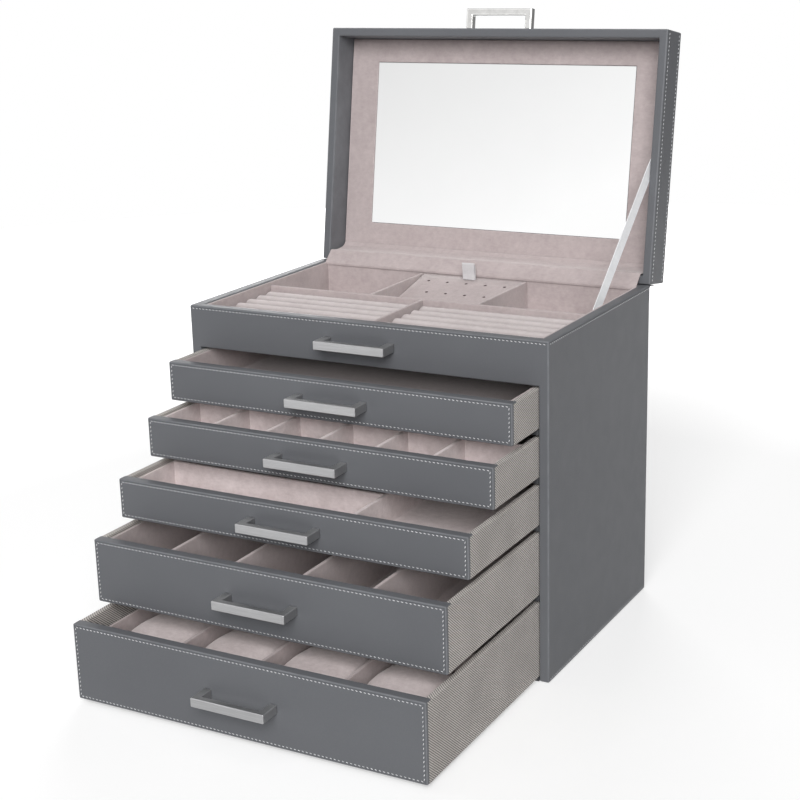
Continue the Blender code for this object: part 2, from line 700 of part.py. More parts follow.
def build_pillows(number, frame):
    for bay, (low, high) in enumerate(insert_cells(number)[:WATCH_BAYS], 1):
        gap = Vector((PILLOW_SIDE_GAP, PILLOW_SIDE_GAP, 0.0))
        seat = Vector(low) + gap + Vector((0.0, 0.0, SEAT_GAP))
        top = Vector((high[0], high[1], low[2] + SEAT_GAP + PILLOW_HEIGHT)) - gap
        add_pillow(f"watch_pillow_{bay}", seat, top, frame)


cabinet_frame = body_frame("cabinet_frame", (0.0, 0.0, 0.0))
build_cabinet(cabinet_frame)
build_tray(cabinet_frame)
build_hinge_and_stay(cabinet_frame)

build_flap(body_frame("flap_frame", flap_axis(), flap_slope()))

build_lid(body_frame("lid_frame", (0.0, BACK_Y, HINGE_Z), -LID_OPEN_ANGLE))

for drawer_number, pulled_out in enumerate(DRAWER_PULLED_OUT, 1):
    drawer_place = (0.0, FRONT_Y - pulled_out, DRAWER_BOTTOMS[drawer_number - 1])
    drawer_frame = body_frame(f"drawer_{drawer_number}_frame", drawer_place)
    build_drawer(drawer_number, drawer_frame)
    if drawer_number == len(DRAWER_PULLED_OUT):
        build_pillows(drawer_number, drawer_frame)
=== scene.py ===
"""Jewellery chest with five drawers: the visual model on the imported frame, in metres, +Z up."""
import json
import math

import bmesh
import bpy
import numpy as np
from mathutils import Matrix, Vector


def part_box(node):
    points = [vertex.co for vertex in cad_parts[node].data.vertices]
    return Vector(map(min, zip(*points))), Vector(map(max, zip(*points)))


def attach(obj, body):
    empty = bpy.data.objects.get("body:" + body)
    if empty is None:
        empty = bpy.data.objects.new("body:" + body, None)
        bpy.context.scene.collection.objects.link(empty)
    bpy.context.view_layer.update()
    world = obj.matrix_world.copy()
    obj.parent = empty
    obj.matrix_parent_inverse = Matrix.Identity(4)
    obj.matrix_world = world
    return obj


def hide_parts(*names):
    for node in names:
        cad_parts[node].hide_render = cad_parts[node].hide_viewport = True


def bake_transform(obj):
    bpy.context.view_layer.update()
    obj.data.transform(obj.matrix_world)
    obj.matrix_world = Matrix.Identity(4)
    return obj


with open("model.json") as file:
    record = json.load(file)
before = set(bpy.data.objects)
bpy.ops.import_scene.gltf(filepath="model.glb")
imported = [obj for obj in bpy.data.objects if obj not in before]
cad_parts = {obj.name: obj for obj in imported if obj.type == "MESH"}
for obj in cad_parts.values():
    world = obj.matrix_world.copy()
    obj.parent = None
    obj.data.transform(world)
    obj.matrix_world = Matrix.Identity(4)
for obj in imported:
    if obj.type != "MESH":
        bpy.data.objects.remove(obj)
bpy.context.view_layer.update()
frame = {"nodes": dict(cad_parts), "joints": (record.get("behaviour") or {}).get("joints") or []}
nodes = frame["nodes"]
joints = {joint["name"]: joint for joint in frame["joints"]}

DRAWERS = (1, 2, 3, 4, 5)
WATCH_BAYS = (1, 2, 3, 4)
# Drawers whose inserts take the lighter velvet copy: painted light
PAINTED_LIGHT_INSERTS = (2, 3)

# Camera, fitted to the photograph's corners
CAMERA_AZIMUTH = math.radians(29.185)
CAMERA_ELEVATION = math.radians(16.153)
CAMERA_ROLL = math.radians(-1.577)
CAMERA_DISTANCE = 1.2743
CAMERA_TARGET = Vector((0.03994, -0.115, 0.22287))
CAMERA_LENS = 72.414
CAMERA_SENSOR = 36.0

# Light levels
AMBIENT = 0.14
GLOSS_SIDE = 0.76
GLOSS_BACK = 0.42
FLOOR_RADIUS = 2.2
FLOOR_ALBEDO = 0.62
FLOOR_LIFT = 0.42
FLOOR_FADE = (0.55, 1.4)
FLOOR_SEGMENTS = 96
FLOOR_DROP = 0.0004
GLOSS_SLANT = (1.0, 0.0, -1.4)
GLOSS_SIDE_SPAN = (-0.80, -0.56)
GLOSS_BACK_SPAN = (-0.1, 0.5)

# Softboxes: name, place, target, size and power
SOFTBOXES = (
    ("key_light", (1.80, -3.98, 2.72), (0.0, -0.1, 0.2), 3.0, 286.0),
    ("top_light", (-0.2, -0.6, 2.2), (0.0, -0.1, 0.2), 1.6, 5.0),
    ("back_light", (-1.3, 2.6, 1.5), (0.0, 0.1, 0.25), 1.6, 40.0),
    ("left_light", (-2.6, -0.4, 1.2), (-0.1, 0.0, 0.2), 1.6, 9.0),
)

# Colours, linear: a dark and a light tone of each finish
LEATHER = ((0.098, 0.101, 0.110, 1.0), (0.111, 0.115, 0.124, 1.0))
# Lighter tone of the grain specks and of rounded edges, where it is partly rubbing and partly a painted
# highlight
LEATHER_SPECK_WEAR_AND_HIGHLIGHT = (0.200, 0.207, 0.220, 1.0)
LEATHER_SEAM = (0.035, 0.036, 0.040, 1.0)
VELVET = ((0.366, 0.310, 0.308, 1.0), (0.510, 0.442, 0.438, 1.0))
# A lighter, greyer copy of the taupe velvet for the ring rolls: painted light and sheen
ROLL_VELVET_PAINTED_LIGHT = ((0.500, 0.450, 0.447, 1.0), (0.640, 0.584, 0.580, 1.0))
# A lighter copy of the taupe velvet: painted light on the inserts of drawers 2 and 3 and on the watch
# pillows
PAINTED_LIGHT_VELVET = ((0.520, 0.448, 0.444, 1.0), (0.760, 0.680, 0.674, 1.0))
# Painted shade that velvet takes on the ring rolls' flanks and on the walls of the earring holes
VELVET_PAINTED_SHADE = (0.150, 0.122, 0.120, 1.0)
VELVET_SHEEN = (1.0, 0.95, 0.94, 1.0)
TWILL = ((0.105, 0.097, 0.091, 1.0), (0.740, 0.690, 0.650, 1.0))
NICKEL = ((0.340, 0.340, 0.345, 1.0), (0.480, 0.480, 0.485, 1.0))
CHROME = ((0.780, 0.775, 0.760, 1.0), (0.930, 0.925, 0.910, 1.0))
# Dark reflection painted onto the polished plating where it turns away from the view
CHROME_PAINTED_REFLECTION = (0.030, 0.030, 0.034, 1.0)
SILVER = ((0.980, 0.982, 0.982, 1.0), (0.998, 0.999, 0.999, 1.0))
SATIN = ((0.790, 0.795, 0.815, 1.0), (0.920, 0.925, 0.940, 1.0))
TAB_SATIN = ((0.500, 0.490, 0.500, 1.0), (0.640, 0.630, 0.640, 1.0))
THREAD = ((0.580, 0.585, 0.600, 1.0), (0.780, 0.785, 0.800, 1.0))
BOARD = ((0.030, 0.031, 0.034, 1.0), (0.060, 0.061, 0.066, 1.0))

# Parts of a pattern's range over which a tone or a share changes
FULL_SPAN = (0.0, 1.0)
NOISE_SPAN = (0.30, 0.70)
DOUBLE_NOISE_SPAN = (0.6, 1.4)
GRAIN_SPAN = (0.35, 0.65)
PILE_SPAN = (0.35, 0.7)
NAP_SPAN = (0.34, 0.66)
TWILL_SPAN = (0.12, 0.90)
THREAD_SPAN = (0.32, 0.64)
# Facing range over which the painted dark reflection on the plating sets in
CHROME_TURN = (0.42, 0.72)

# Shares of a second tone, from the low end of a pattern to the high end
LEATHER_GRAIN = (0.0, 0.16)
# Share of the lighter tone on rounded edges: partly rubbing, partly a painted highlight
LEATHER_WEAR_AND_HIGHLIGHT = (0.15, 0.60)
LEATHER_PRESSED = 0.60
VELVET_FIBRE = (0.0, 0.35)
TWILL_CLOUD = (0.0, 0.22)
TWILL_LEVEL = 0.22

# Roughness, from the low end of a pattern to the high end
LEATHER_ROUGH = (0.42, 0.54)
VELVET_ROUGH = (0.98, 0.82)
TWILL_ROUGH = (0.80, 0.95)
NICKEL_ROUGH = (0.38, 0.52)
CHROME_ROUGH = (0.05, 0.12)
SILVER_ROUGH = (0.015, 0.035)
SATIN_ROUGH = (0.34, 0.52)
THREAD_ROUGH = (0.60, 0.80)
BOARD_ROUGH = (0.72, 0.9)

# Fibres and hairlines: noise drawn out along X
NAP_STRETCH = (260.0, 640.0, 640.0)
HAIR_STRETCH = (45.0, 5200.0, 5200.0)
SATIN_STRETCH = (900.0, 2600.0, 2600.0)

# Woven cloth
RIB_SLOPE = 0.85
RIB_PITCH = 0.0021
THREAD_PITCH = 0.0011

# Mesh work
TINY = 0.000001
MERGE_DISTANCE = 0.00001
FLAT_ANGLE = 0.01
RIM_ANGLE = 0.5
JOIN_ANGLE = math.radians(0.5)
SHARP_ANGLE = math.radians(40)
SHEET_SHARP = math.radians(50)
ROLL_SHARP = math.radians(60)
FLAT_FACE_WEIGHT = 90

# Leather work
COVER_EDGE = 0.0014
COVER_SEGMENTS = 4
SEAM_INSET = 0.0016
LID_SEAM_INSET = 0.0032
SEAM_DEPTH = 0.00020
SEAM_HALF_WIDTH = 0.00040
SKIN_DEPTH = 0.0003
FRONT_EDGE = 0.0011
FRONT_CORNER = 0.0012
FRONT_CORNER_MIN = 0.0004
FRONT_CHAMFER = 0.0006
FRONT_STEPS = 4
FRONT_SEAM_MARK = 0.5
FRONT_PADDING = ((0.0012, 0.0001), (0.0060, 0.0002))
# Rounded edges, whose normals lie off the axes, take the rubbing and painted highlight
WEAR_AND_HIGHLIGHT_NORMAL = 0.95

# Cloth over the ends of the drawer fronts
END_CLOTH_START = 0.0026
END_CLOTH_LAP = 0.0004
END_CLOTH_FLAT = 0.0050
END_CLOTH_FOOT = 0.0004
END_CLOTH_TOP = 0.0008
END_CLOTH_ROWS = 12
END_CLOTH_LIFT = (-0.0004, 0.0001, 0.0001, 0.0001)
END_CLOTH_THICKNESS = 0.0006

# Soft edges of CAD nodes
SOFT_SEGMENTS = 2
INSERT_EDGE = 0.0007
BOX_EDGE = 0.0008
PULL_EDGE = 0.0006
LINING_EDGE = 0.0006

# Stitches
STITCH_INSET = 0.0026
STITCH_LID_INSET = 0.0050
STITCH_PITCH = 0.0034
STITCH_LENGTH = 0.0021
STITCH_WIDTH = 0.00054
STITCH_HEIGHT = 0.00044
STITCH_SLANT = math.radians(-18.0)
STITCH_SIDES = 6
STITCH_RINGS = (-0.82, -0.30, 0.30, 0.82)
STITCH_TAPER = 0.85
STITCH_LIFT = 0.35
STITCH_DIVE = 0.6
STITCH_END_GAP = 0.002

# Soft pieces
RING_ROLLS = 6
ROLL_HEIGHT = 0.0105
ROLL_FILL = 0.94
ROLL_END = 0.0040
# Painted shade on the rolls' flanks: its strength, the share of the roll height below the top where it
# starts, and the share over which it grows to full
ROLL_SHADE = 0.80
ROLL_CREST = 0.06
ROLL_FLANK = 0.36
ROLL_STEPS = 15
ROLL_POWER = 2.1
ROLL_END_STEPS = 7
ROLL_COLUMNS = 26
ROLL_SLACK = 0.0001
ROLL_WAVE_SLANT = 3.7
ROLL_WAVES = ((0.00012, 0.043, 0.4), (0.00010, 0.019, 2.0))
PILLOW_SCALE = 0.94
PILLOW_VOXEL = 0.0035
PILLOW_FRAMES = 20
PILLOW_CLOTH = {
    "quality": 6,
    "mass": 0.15,
    "tension_stiffness": 12.0,
    "compression_stiffness": 12.0,
    "bending_stiffness": 0.6,
    "use_pressure": True,
    "uniform_pressure_force": 4.0,
    "vertex_group_mass": "foot",
}
PILLOW_CAP = 0.004
PILLOW_SEAM_INSET = 0.0050
PILLOW_SEAM_DEPTH = 0.0007
PILLOW_SEAM_WIDTH = 0.0012
PILLOW_CROWN = 0.0050
PILLOW_CROWN_POWER = 2.5
SHEET_THICKNESS = 0.0008
TRAY_WALL = 0.0020
BOARD_EDGE = 0.0040
HOLE_SHADE = 0.95
HOLE_WALL = 0.5
RIBBON_THICKNESS = 0.0005
RIBBON_WIDTH = 0.010
RIBBON_TURN = math.radians(-9)
RIBBON_SEWN = 0.08
RIBBON_END_GAP = 0.0006
RIBBON_WALL_GAP = 0.0007
RIBBON_ROWS = 49
RIBBON_COLUMNS = 7

# Folded sheets: steps in each span of the fold, and points across
FOLD_STEPS = 6
GUSSET_COLUMNS = 65
STRIP_COLUMNS = 41
TAB_STEPS = 5
TAB_COLUMNS = 9
GUSSET_WAVES = ((0.00025, 0.110, 0.3), (0.00018, 0.047, 1.1), (0.0001, 0.021, 2.2))

# Velvet hinge lining: (y, z) from the tray's rear rim, (y, z) from the low corner of its CAD solid, then
# (distance beyond the lid's rear wall, share of the lining's depth, extra depth) in the lid
GUSSET_TRAY = ((0.0, -0.0022), (0.0, -0.0003), (0.0010, 0.0009))
GUSSET_FOLD = (0.0018, 0.0026)
GUSSET_LID = (
    (-0.0006, 0.0, -0.0015),
    (0.0014, 0.0, 0.0008),
    (0.0016, 0.40, 0.0),
    (0.0042, 0.80, 0.0),
    (0.0082, 1.0, -0.0009),
)

# Outer hinge strip: gap from the leather, (y, z) from the hinge axis, then depths up the lid's rear wall
STRIP_GAP = 0.0009
STRIP_CABINET = ((0.0, -0.0070), (0.0001, -0.0034), (0.0014, -0.0017))
STRIP_LID = (0.0050, 0.0122)

# Ribbon tab: (distance behind its front, share of its height, extra height) round the fold
TAB_FOLD = (
    (0.0034, 0.0, 0.0001),
    (0.0031, 0.35, 0.0),
    (0.0025, 0.70, 0.0),
    (0.0021, 1.0, -0.0011),
    (0.0026, 1.0, -0.0003),
    (0.0034, 1.0, -0.0010),
    (0.0044, 0.68, 0.0),
    (0.0051, 0.33, 0.0),
    (0.0052, 0.0, 0.0001),
)


class Nodes:
    """A node tree, with short calls for the nodes that materials, floor and surroundings share."""

    def __init__(self, tree):
        self.tree = tree

    def node(self, kind, inputs=None, **settings):
        made = self.tree.nodes.new(kind)
        for name, value in settings.items():
            setattr(made, name, value)
        for name, value in (inputs or {}).items():
            self.join(value, made.inputs[name])
        return made

    def join(self, value, socket):
        if isinstance(value, bpy.types.NodeSocket):
            self.tree.links.new(value, socket)
        else:
            socket.default_value = value

    def math(self, operation, first, second=0.0, clamp=False):
        made = self.node("ShaderNodeMath", operation=operation, use_clamp=clamp)
        self.join(first, made.inputs[0])
        self.join(second, made.inputs[1])
        return made.outputs["Value"]

    def spread(self, value, result, span=NOISE_SPAN):
        """The value, mapped from the span to the result's two ends."""
        settings = {"Value": value, "From Min": span[0], "From Max": span[1]}
        settings.update({"To Min": result[0], "To Max": result[1]})
        return self.node("ShaderNodeMapRange", settings).outputs["Result"]

    def seen(self):
        """1 for rays from the camera and in mirrors and glass, else 0; then 1 for those in mirrors."""
        rays = self.node("ShaderNodeLightPath").outputs
        total = rays["Is Camera Ray"]
        for name in ("Is Glossy Ray", "Is Transmission Ray"):
            total = self.math("ADD", total, rays[name], clamp=True)
        return total, rays["Is Glossy Ray"]


class Paint(Nodes):
    """One material's node tree, with short calls for the patterns that the finishes share."""

    def __init__(self, name):
        self.material = bpy.data.materials.new(name)
        self.material.use_nodes = True
        super().__init__(self.material.node_tree)
        self.shader = self.tree.nodes["Principled BSDF"]
        self.place = self.node("ShaderNodeTexCoord").outputs["Object"]

    def noise(self, scale, detail=3.0, roughness=0.5, stretch=None):
        """Cloudy pattern; a stretch scales each axis of the object's own places first."""
        place = self.place
        if stretch:
            place = self.node("ShaderNodeMapping", {"Vector": place, "Scale": stretch}).outputs["Vector"]
        settings = {"Vector": place, "Scale": scale, "Detail": detail, "Roughness": roughness}
        return self.node("ShaderNodeTexNoise", settings).outputs["Fac"]

    def blended(self, *parts):
        """Sum of (value, weight) parts."""
        total = None
        for value, weight in parts:
            share = self.math("MULTIPLY", value, weight)
            total = share if total is None else self.math("ADD", total, share)
        return total

    def ramp(self, value, tones, span=NOISE_SPAN):
        """Colour that goes from the dark tone to the light one as the value crosses the span."""
        made = self.node("ShaderNodeValToRGB", {"Fac": value})
        for element, position, colour in zip(made.color_ramp.elements, span, tones):
            element.position = position
            element.color = colour
        return made.outputs["Color"]

    def mix(self, share, first, second):
        made = self.node("ShaderNodeMix", data_type="RGBA")
        self.join(share, made.inputs[0])
        self.join(first, made.inputs[6])
        self.join(second, made.inputs[7])
        return made.outputs[2]

    def marks(self):
        """The finish layer's parts: red is edge rubbing with a painted highlight, green is pressed seams
        on leather and painted shade on velvet.
        """
        layer = self.node("ShaderNodeAttribute", attribute_name="finish").outputs["Color"]
        return self.node("ShaderNodeSeparateColor", {"Color": layer}).outputs

    def bump(self, height, strength, distance):
        settings = {"Height": height, "Strength": strength, "Distance": distance}
        self.join(self.node("ShaderNodeBump", settings).outputs["Normal"], self.shader.inputs["Normal"])

    def finish(self, **sockets):
        """Sets the shader's sockets by name, with spaces for underscores."""
        for name, value in sockets.items():
            self.join(value, self.shader.inputs[name.replace("_", " ")])
        return self.material


def leather():
    """Smooth coated leather: fine grain, cloudy tone, edges lighter from rubbing and a painted highlight,
    and dark pressed seams.
    """
    paint = Paint("leather_grey")
    cloud = paint.noise(scale=8.0, detail=4.0, roughness=0.55)
    patches = paint.noise(scale=60.0, roughness=0.6)
    grain = {"Vector": paint.place, "Scale": 1500.0}
    cells = paint.node("ShaderNodeTexVoronoi", grain).outputs["Distance"]
    pores = paint.noise(scale=3600.0, detail=2.0)
    tone = paint.ramp(cloud, LEATHER)
    grained = paint.mix(paint.spread(pores, LEATHER_GRAIN, GRAIN_SPAN), tone, LEATHER_SPECK_WEAR_AND_HIGHLIGHT)
    marks = paint.marks()
    # Rounded edges lighter: partly rubbing, partly a painted highlight
    wear_and_highlight_share = paint.math("MULTIPLY", marks["Red"], paint.spread(patches, LEATHER_WEAR_AND_HIGHLIGHT))
    worn_and_highlit = paint.mix(wear_and_highlight_share, grained, LEATHER_SPECK_WEAR_AND_HIGHLIGHT)
    pressed = paint.math("MULTIPLY", marks["Green"], LEATHER_PRESSED)
    seamed = paint.mix(pressed, worn_and_highlit, LEATHER_SEAM)
    paint.bump(paint.blended((cells, 1.0), (pores, 0.6)), strength=0.22, distance=0.00018)
    rough = paint.spread(paint.math("ADD", patches, cloud), LEATHER_ROUGH, DOUBLE_NOISE_SPAN)
    return paint.finish(Base_Color=seamed, Roughness=rough, Specular_IOR_Level=0.24)


def velvet(name, tones):
    """Short-pile velvet: cloudy and mottled nap, painted shade where the finish layer marks it, and a
    fibrous bump.
    """
    paint = Paint(name)
    cloud = paint.noise(scale=26.0, detail=4.0, roughness=0.6)
    mottle = paint.noise(scale=190.0, detail=4.0, roughness=0.65)
    brushed = paint.noise(scale=1.0, roughness=0.6, stretch=NAP_STRETCH)
    pile = paint.noise(scale=1900.0, roughness=0.7)
    nap = paint.blended((cloud, 0.40), (mottle, 0.38), (brushed, 0.22))
    tone = paint.ramp(nap, tones, NAP_SPAN)
    fibre = paint.mix(paint.spread(pile, VELVET_FIBRE, PILE_SPAN), tone, tones[0])
    # Painted shade: the velvet darkens towards its shade tone where the finish layer's green is set
    painted_shade = paint.mix(paint.marks()["Green"], fibre, VELVET_PAINTED_SHADE)
    paint.bump(paint.blended((pile, 1.0), (mottle, 0.8)), strength=0.45, distance=0.0005)
    return paint.finish(
        Base_Color=painted_shade,
        Roughness=paint.spread(nap, VELVET_ROUGH),
        Specular_IOR_Level=0.15,
        Sheen_Weight=0.35,
        Sheen_Roughness=0.45,
        Sheen_Tint=VELVET_SHEEN,
    )


def twill():
    """Woven cloth with slanting ribs, each rib a row of short threads."""
    paint = Paint("twill_cloth")
    x, y, z = paint.node("ShaderNodeSeparateXYZ", {"Vector": paint.place}).outputs
    along = paint.math("ADD", x, y)
    rise = paint.math("ADD", z, paint.math("MULTIPLY", along, RIB_SLOPE))
    rib = paint.math("SINE", paint.math("MULTIPLY", rise, 2 * math.pi / RIB_PITCH))
    run = paint.math("SUBTRACT", along, paint.math("MULTIPLY", z, RIB_SLOPE))
    bead = paint.math("SINE", paint.math("MULTIPLY", run, 2 * math.pi / THREAD_PITCH))
    fuzz = paint.noise(scale=1500.0, roughness=0.7)
    cloud = paint.noise(scale=30.0)
    weave = paint.blended((rib, 0.36), (bead, 0.12), (fuzz, 0.55))
    tone = paint.ramp(paint.math("ADD", weave, TWILL_LEVEL), TWILL, TWILL_SPAN)
    cloth = paint.mix(paint.spread(cloud, TWILL_CLOUD), tone, TWILL[0])
    paint.bump(weave, strength=0.55, distance=0.0005)
    rough = paint.spread(fuzz, TWILL_ROUGH, FULL_SPAN)
    return paint.finish(Base_Color=cloth, Roughness=rough, Specular_IOR_Level=0.25, Sheen_Weight=0.12)


def nickel():
    """Brushed metal, its hairlines running along the bar."""
    paint = Paint("nickel_brushed")
    hairs = paint.noise(scale=1.0, detail=4.0, roughness=0.65, stretch=HAIR_STRETCH)
    smears = paint.noise(scale=160.0, roughness=0.6)
    tone = paint.ramp(hairs, NICKEL)
    paint.bump(hairs, strength=0.10, distance=0.00008)
    rough = paint.spread(paint.blended((hairs, 0.7), (smears, 0.3)), NICKEL_ROUGH)
    return paint.finish(Base_Color=tone, Roughness=rough, Metallic=1.0, Anisotropic=0.35)


def chrome():
    """Polished plating, with a painted dark reflection where the surface turns away from the view."""
    paint = Paint("nickel_polished")
    smears = paint.noise(scale=160.0, roughness=0.6)
    tone = paint.ramp(smears, CHROME)
    # Painted reflection: the tone darkens as the surface turns away from the view
    turned = paint.node("ShaderNodeLayerWeight", {"Blend": 0.5}).outputs["Facing"]
    painted_reflection = paint.mix(paint.spread(turned, FULL_SPAN, CHROME_TURN), tone, CHROME_PAINTED_REFLECTION)
    paint.bump(smears, strength=0.04, distance=0.00008)
    return paint.finish(Base_Color=painted_reflection, Roughness=paint.spread(smears, CHROME_ROUGH), Metallic=1.0)


def silver():
    """Silvered glass with the faintest haze."""
    paint = Paint("mirror_silver")
    haze = paint.noise(scale=14.0, detail=4.0, roughness=0.6)
    tone = paint.ramp(haze, SILVER)
    return paint.finish(Base_Color=tone, Roughness=paint.spread(haze, SILVER_ROUGH), Metallic=1.0)


def satin(name, tones):
    """Woven ribbon: fine cross threads, with a soft sheen."""
    paint = Paint(name)
    cross = paint.noise(scale=1.0, roughness=0.6, stretch=SATIN_STRETCH)
    cloud = paint.noise(scale=120.0)
    weave = paint.blended((cross, 0.6), (cloud, 0.4))
    tone = paint.ramp(weave, tones, NAP_SPAN)
    paint.bump(cross, strength=0.35, distance=0.0002)
    rough = paint.spread(weave, SATIN_ROUGH)
    return paint.finish(Base_Color=tone, Roughness=rough, Sheen_Weight=0.3, Sheen_Roughness=0.35)


def thread():
    """Twisted sewing thread."""
    paint = Paint("thread_white")
    strands = paint.noise(scale=2400.0, roughness=0.65)
    cloud = paint.noise(scale=90.0)
    weave = paint.blended((strands, 0.7), (cloud, 0.3))
    tone = paint.ramp(weave, THREAD, THREAD_SPAN)
    paint.bump(strands, strength=0.5, distance=0.0002)
    rough = paint.spread(strands, THREAD_ROUGH, FULL_SPAN)
    return paint.finish(Base_Color=tone, Roughness=rough, Sheen_Weight=0.15)


def dark_board():
    """Dark paper-covered board."""
    paint = Paint("board_dark")
    pulp = paint.noise(scale=420.0, detail=4.0, roughness=0.65)
    cloud = paint.noise(scale=14.0)
    blend = paint.blended((pulp, 0.5), (cloud, 0.5))
    tone = paint.ramp(blend, BOARD, GRAIN_SPAN)
    paint.bump(pulp, strength=0.25, distance=0.0002)
    return paint.finish(Base_Color=tone, Roughness=paint.spread(pulp, BOARD_ROUGH), Specular_IOR_Level=0.3)


FINISHES = {
    "grey_leather": leather(),
    "taupe_velvet": velvet("velvet_taupe", VELVET),
    "roll_velvet": velvet("velvet_rolls", ROLL_VELVET_PAINTED_LIGHT),
    "pale_velvet": velvet("velvet_pale", PAINTED_LIGHT_VELVET),
    "woven_cloth": twill(),
    "brushed_nickel": nickel(),
    "polished_nickel": chrome(),
    "mirror_glass": silver(),
    "satin_ribbon": satin("satin_white", SATIN),
    "satin_tab": satin("satin_grey", TAB_SATIN),
    "dark_board": dark_board(),
    "thread": thread(),
}


def add_object(name, data):
    made = bpy.data.objects.new(name, data)
    bpy.context.scene.collection.objects.link(made)
    return made


def add_piece(name, mesh, finish, body=None, replaces=()):
    """New piece with its finish; it rides on the body, where one is given."""
    piece = add_object(name, mesh)
    mesh.materials.clear()
    mesh.materials.append(FINISHES[finish])
    if replaces:
        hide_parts(*replaces)
    if body:
        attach(piece, body)
    return piece


def to_mesh(name, shape, sharp=SHARP_ANGLE):
    """Mesh of the shape, smooth apart from edges sharper than the angle."""
    mesh = bpy.data.meshes.new(name)
    shape.to_mesh(mesh)
    shape.free()
    mesh.shade_smooth()
    mesh.set_sharp_from_angle(angle=sharp)
    return mesh


# Quads of a unit cell's six sides, each with the step to the cell beyond it
CELL_SIDES = (
    ((1, 0, 0), ((1, 0, 0), (1, 1, 0), (1, 1, 1), (1, 0, 1))),
    ((-1, 0, 0), ((0, 0, 0), (0, 0, 1), (0, 1, 1), (0, 1, 0))),
    ((0, 1, 0), ((0, 1, 0), (0, 1, 1), (1, 1, 1), (1, 1, 0))),
    ((0, -1, 0), ((0, 0, 0), (1, 0, 0), (1, 0, 1), (0, 0, 1))),
    ((0, 0, 1), ((0, 0, 1), (1, 0, 1), (1, 1, 1), (0, 1, 1))),
    ((0, 0, -1), ((0, 0, 0), (0, 1, 0), (1, 1, 0), (1, 0, 0))),
)


def closed_shape(points, faces):
    """Shape of the points and faces, with its normals turned outwards."""
    mesh = bpy.data.meshes.new("points")
    mesh.from_pydata(points, [], faces)
    shape = bmesh.new()
    shape.from_mesh(mesh)
    bpy.data.meshes.remove(mesh)
    bmesh.ops.recalc_face_normals(shape, faces=shape.faces)
    return shape


def walled_shape(xs, ys, zs, filled):
    """Skin of the filled cells of a grid, with flat faces joined and outer edges rounded."""
    shape = bmesh.new()
    corners = {}

    def corner(i, j, k):
        if (i, j, k) not in corners:
            corners[i, j, k] = shape.verts.new((xs[i], ys[j], zs[k]))
        return corners[i, j, k]

    cells = {
        (i, j, k)
        for i in range(len(xs) - 1)
        for j in range(len(ys) - 1)
        for k in range(len(zs) - 1)
        if filled(i, j, k)
    }
    for i, j, k in sorted(cells):
        for (di, dj, dk), quad in CELL_SIDES:
            if (i + di, j + dj, k + dk) not in cells:
                shape.faces.new([corner(i + a, j + b, k + c) for a, b, c in quad])
    bmesh.ops.dissolve_limit(shape, angle_limit=FLAT_ANGLE, verts=shape.verts, edges=shape.edges)
    outer = [edge for edge in shape.edges if edge.is_convex and edge.calc_face_angle(0.0) > RIM_ANGLE]
    bmesh.ops.bevel(
        shape,
        geom=outer,
        offset=COVER_EDGE,
        segments=COVER_SEGMENTS,
        profile=0.5,
        affect="EDGES",
        clamp_overlap=True,
    )
    shape.normal_update()
    return shape


def finish_marks(shape):
    """Vertex layer of (edge rubbing with painted highlight, seam or painted shade) marks that leather and
    velvet read, empty at first.
    """
    layers = shape.verts.layers.float_color
    marks = layers.get("finish")
    if marks is None:
        marks = layers.new("finish")
        for vertex in shape.verts:
            vertex[marks] = (0.0, 0.0, 0.0, 1.0)
    return marks


def press_seam(shape, level, chosen):
    """Sinks a narrow level groove into the chosen part of the skin, and marks it."""
    up = Vector((0.0, 0.0, 1.0))
    point = up * level
    marks = finish_marks(shape)
    for offset in (-SEAM_HALF_WIDTH, 0.0, SEAM_HALF_WIDTH):
        bmesh.ops.bisect_plane(
            shape,
            geom=shape.verts[:] + shape.edges[:] + shape.faces[:],
            dist=TINY,
            plane_co=point + up * offset,
            plane_no=up,
        )
    shape.normal_update()
    bottom = [v for v in shape.verts if abs(v.co.z - point.z) < MERGE_DISTANCE and chosen(v.co)]
    for vertex in bottom:
        vertex.co -= vertex.normal * SEAM_DEPTH
        vertex[marks] = (0.0, 1.0, 0.0, 1.0)


def mark_wear_and_highlight(shape):
    """Marks the vertices of rounded edges, whose normals lie between the axes, for rubbing and a painted
    highlight.
    """
    marks = finish_marks(shape)
    shape.normal_update()
    for vertex in shape.verts:
        if max(abs(part) for part in vertex.normal) < WEAR_AND_HIGHLIGHT_NORMAL:
            vertex[marks] = (1.0, vertex[marks][1], 0.0, 1.0)


def weigh_normals(piece):
    """Shading that keeps large faces flat between their rounded edges, and inner corners sharp."""
    weighted = piece.modifiers.new("flat_faces", "WEIGHTED_NORMAL")
    weighted.keep_sharp = True
    weighted.weight = FLAT_FACE_WEIGHT


def add_leather(name, shape, body, covered):
    """Leather piece on a body, over the CAD nodes that it covers."""
    piece = add_piece(name, to_mesh(name, shape), "grey_leather", body, replaces=covered)
    weigh_normals(piece)


def stitch_run(start, end, normal):
    """Stitches (centre, direction, normal) spaced evenly between two points of a face."""
    start, end, normal = Vector(start), Vector(end), Vector(normal)
    along = (end - start).normalized()
    slanted = Matrix.Rotation(STITCH_SLANT, 3, normal) @ along
    count = max(1, round((end - start).length / STITCH_PITCH))
    return [(start.lerp(end, (number + 0.5) / count), slanted, normal) for number in range(count)]


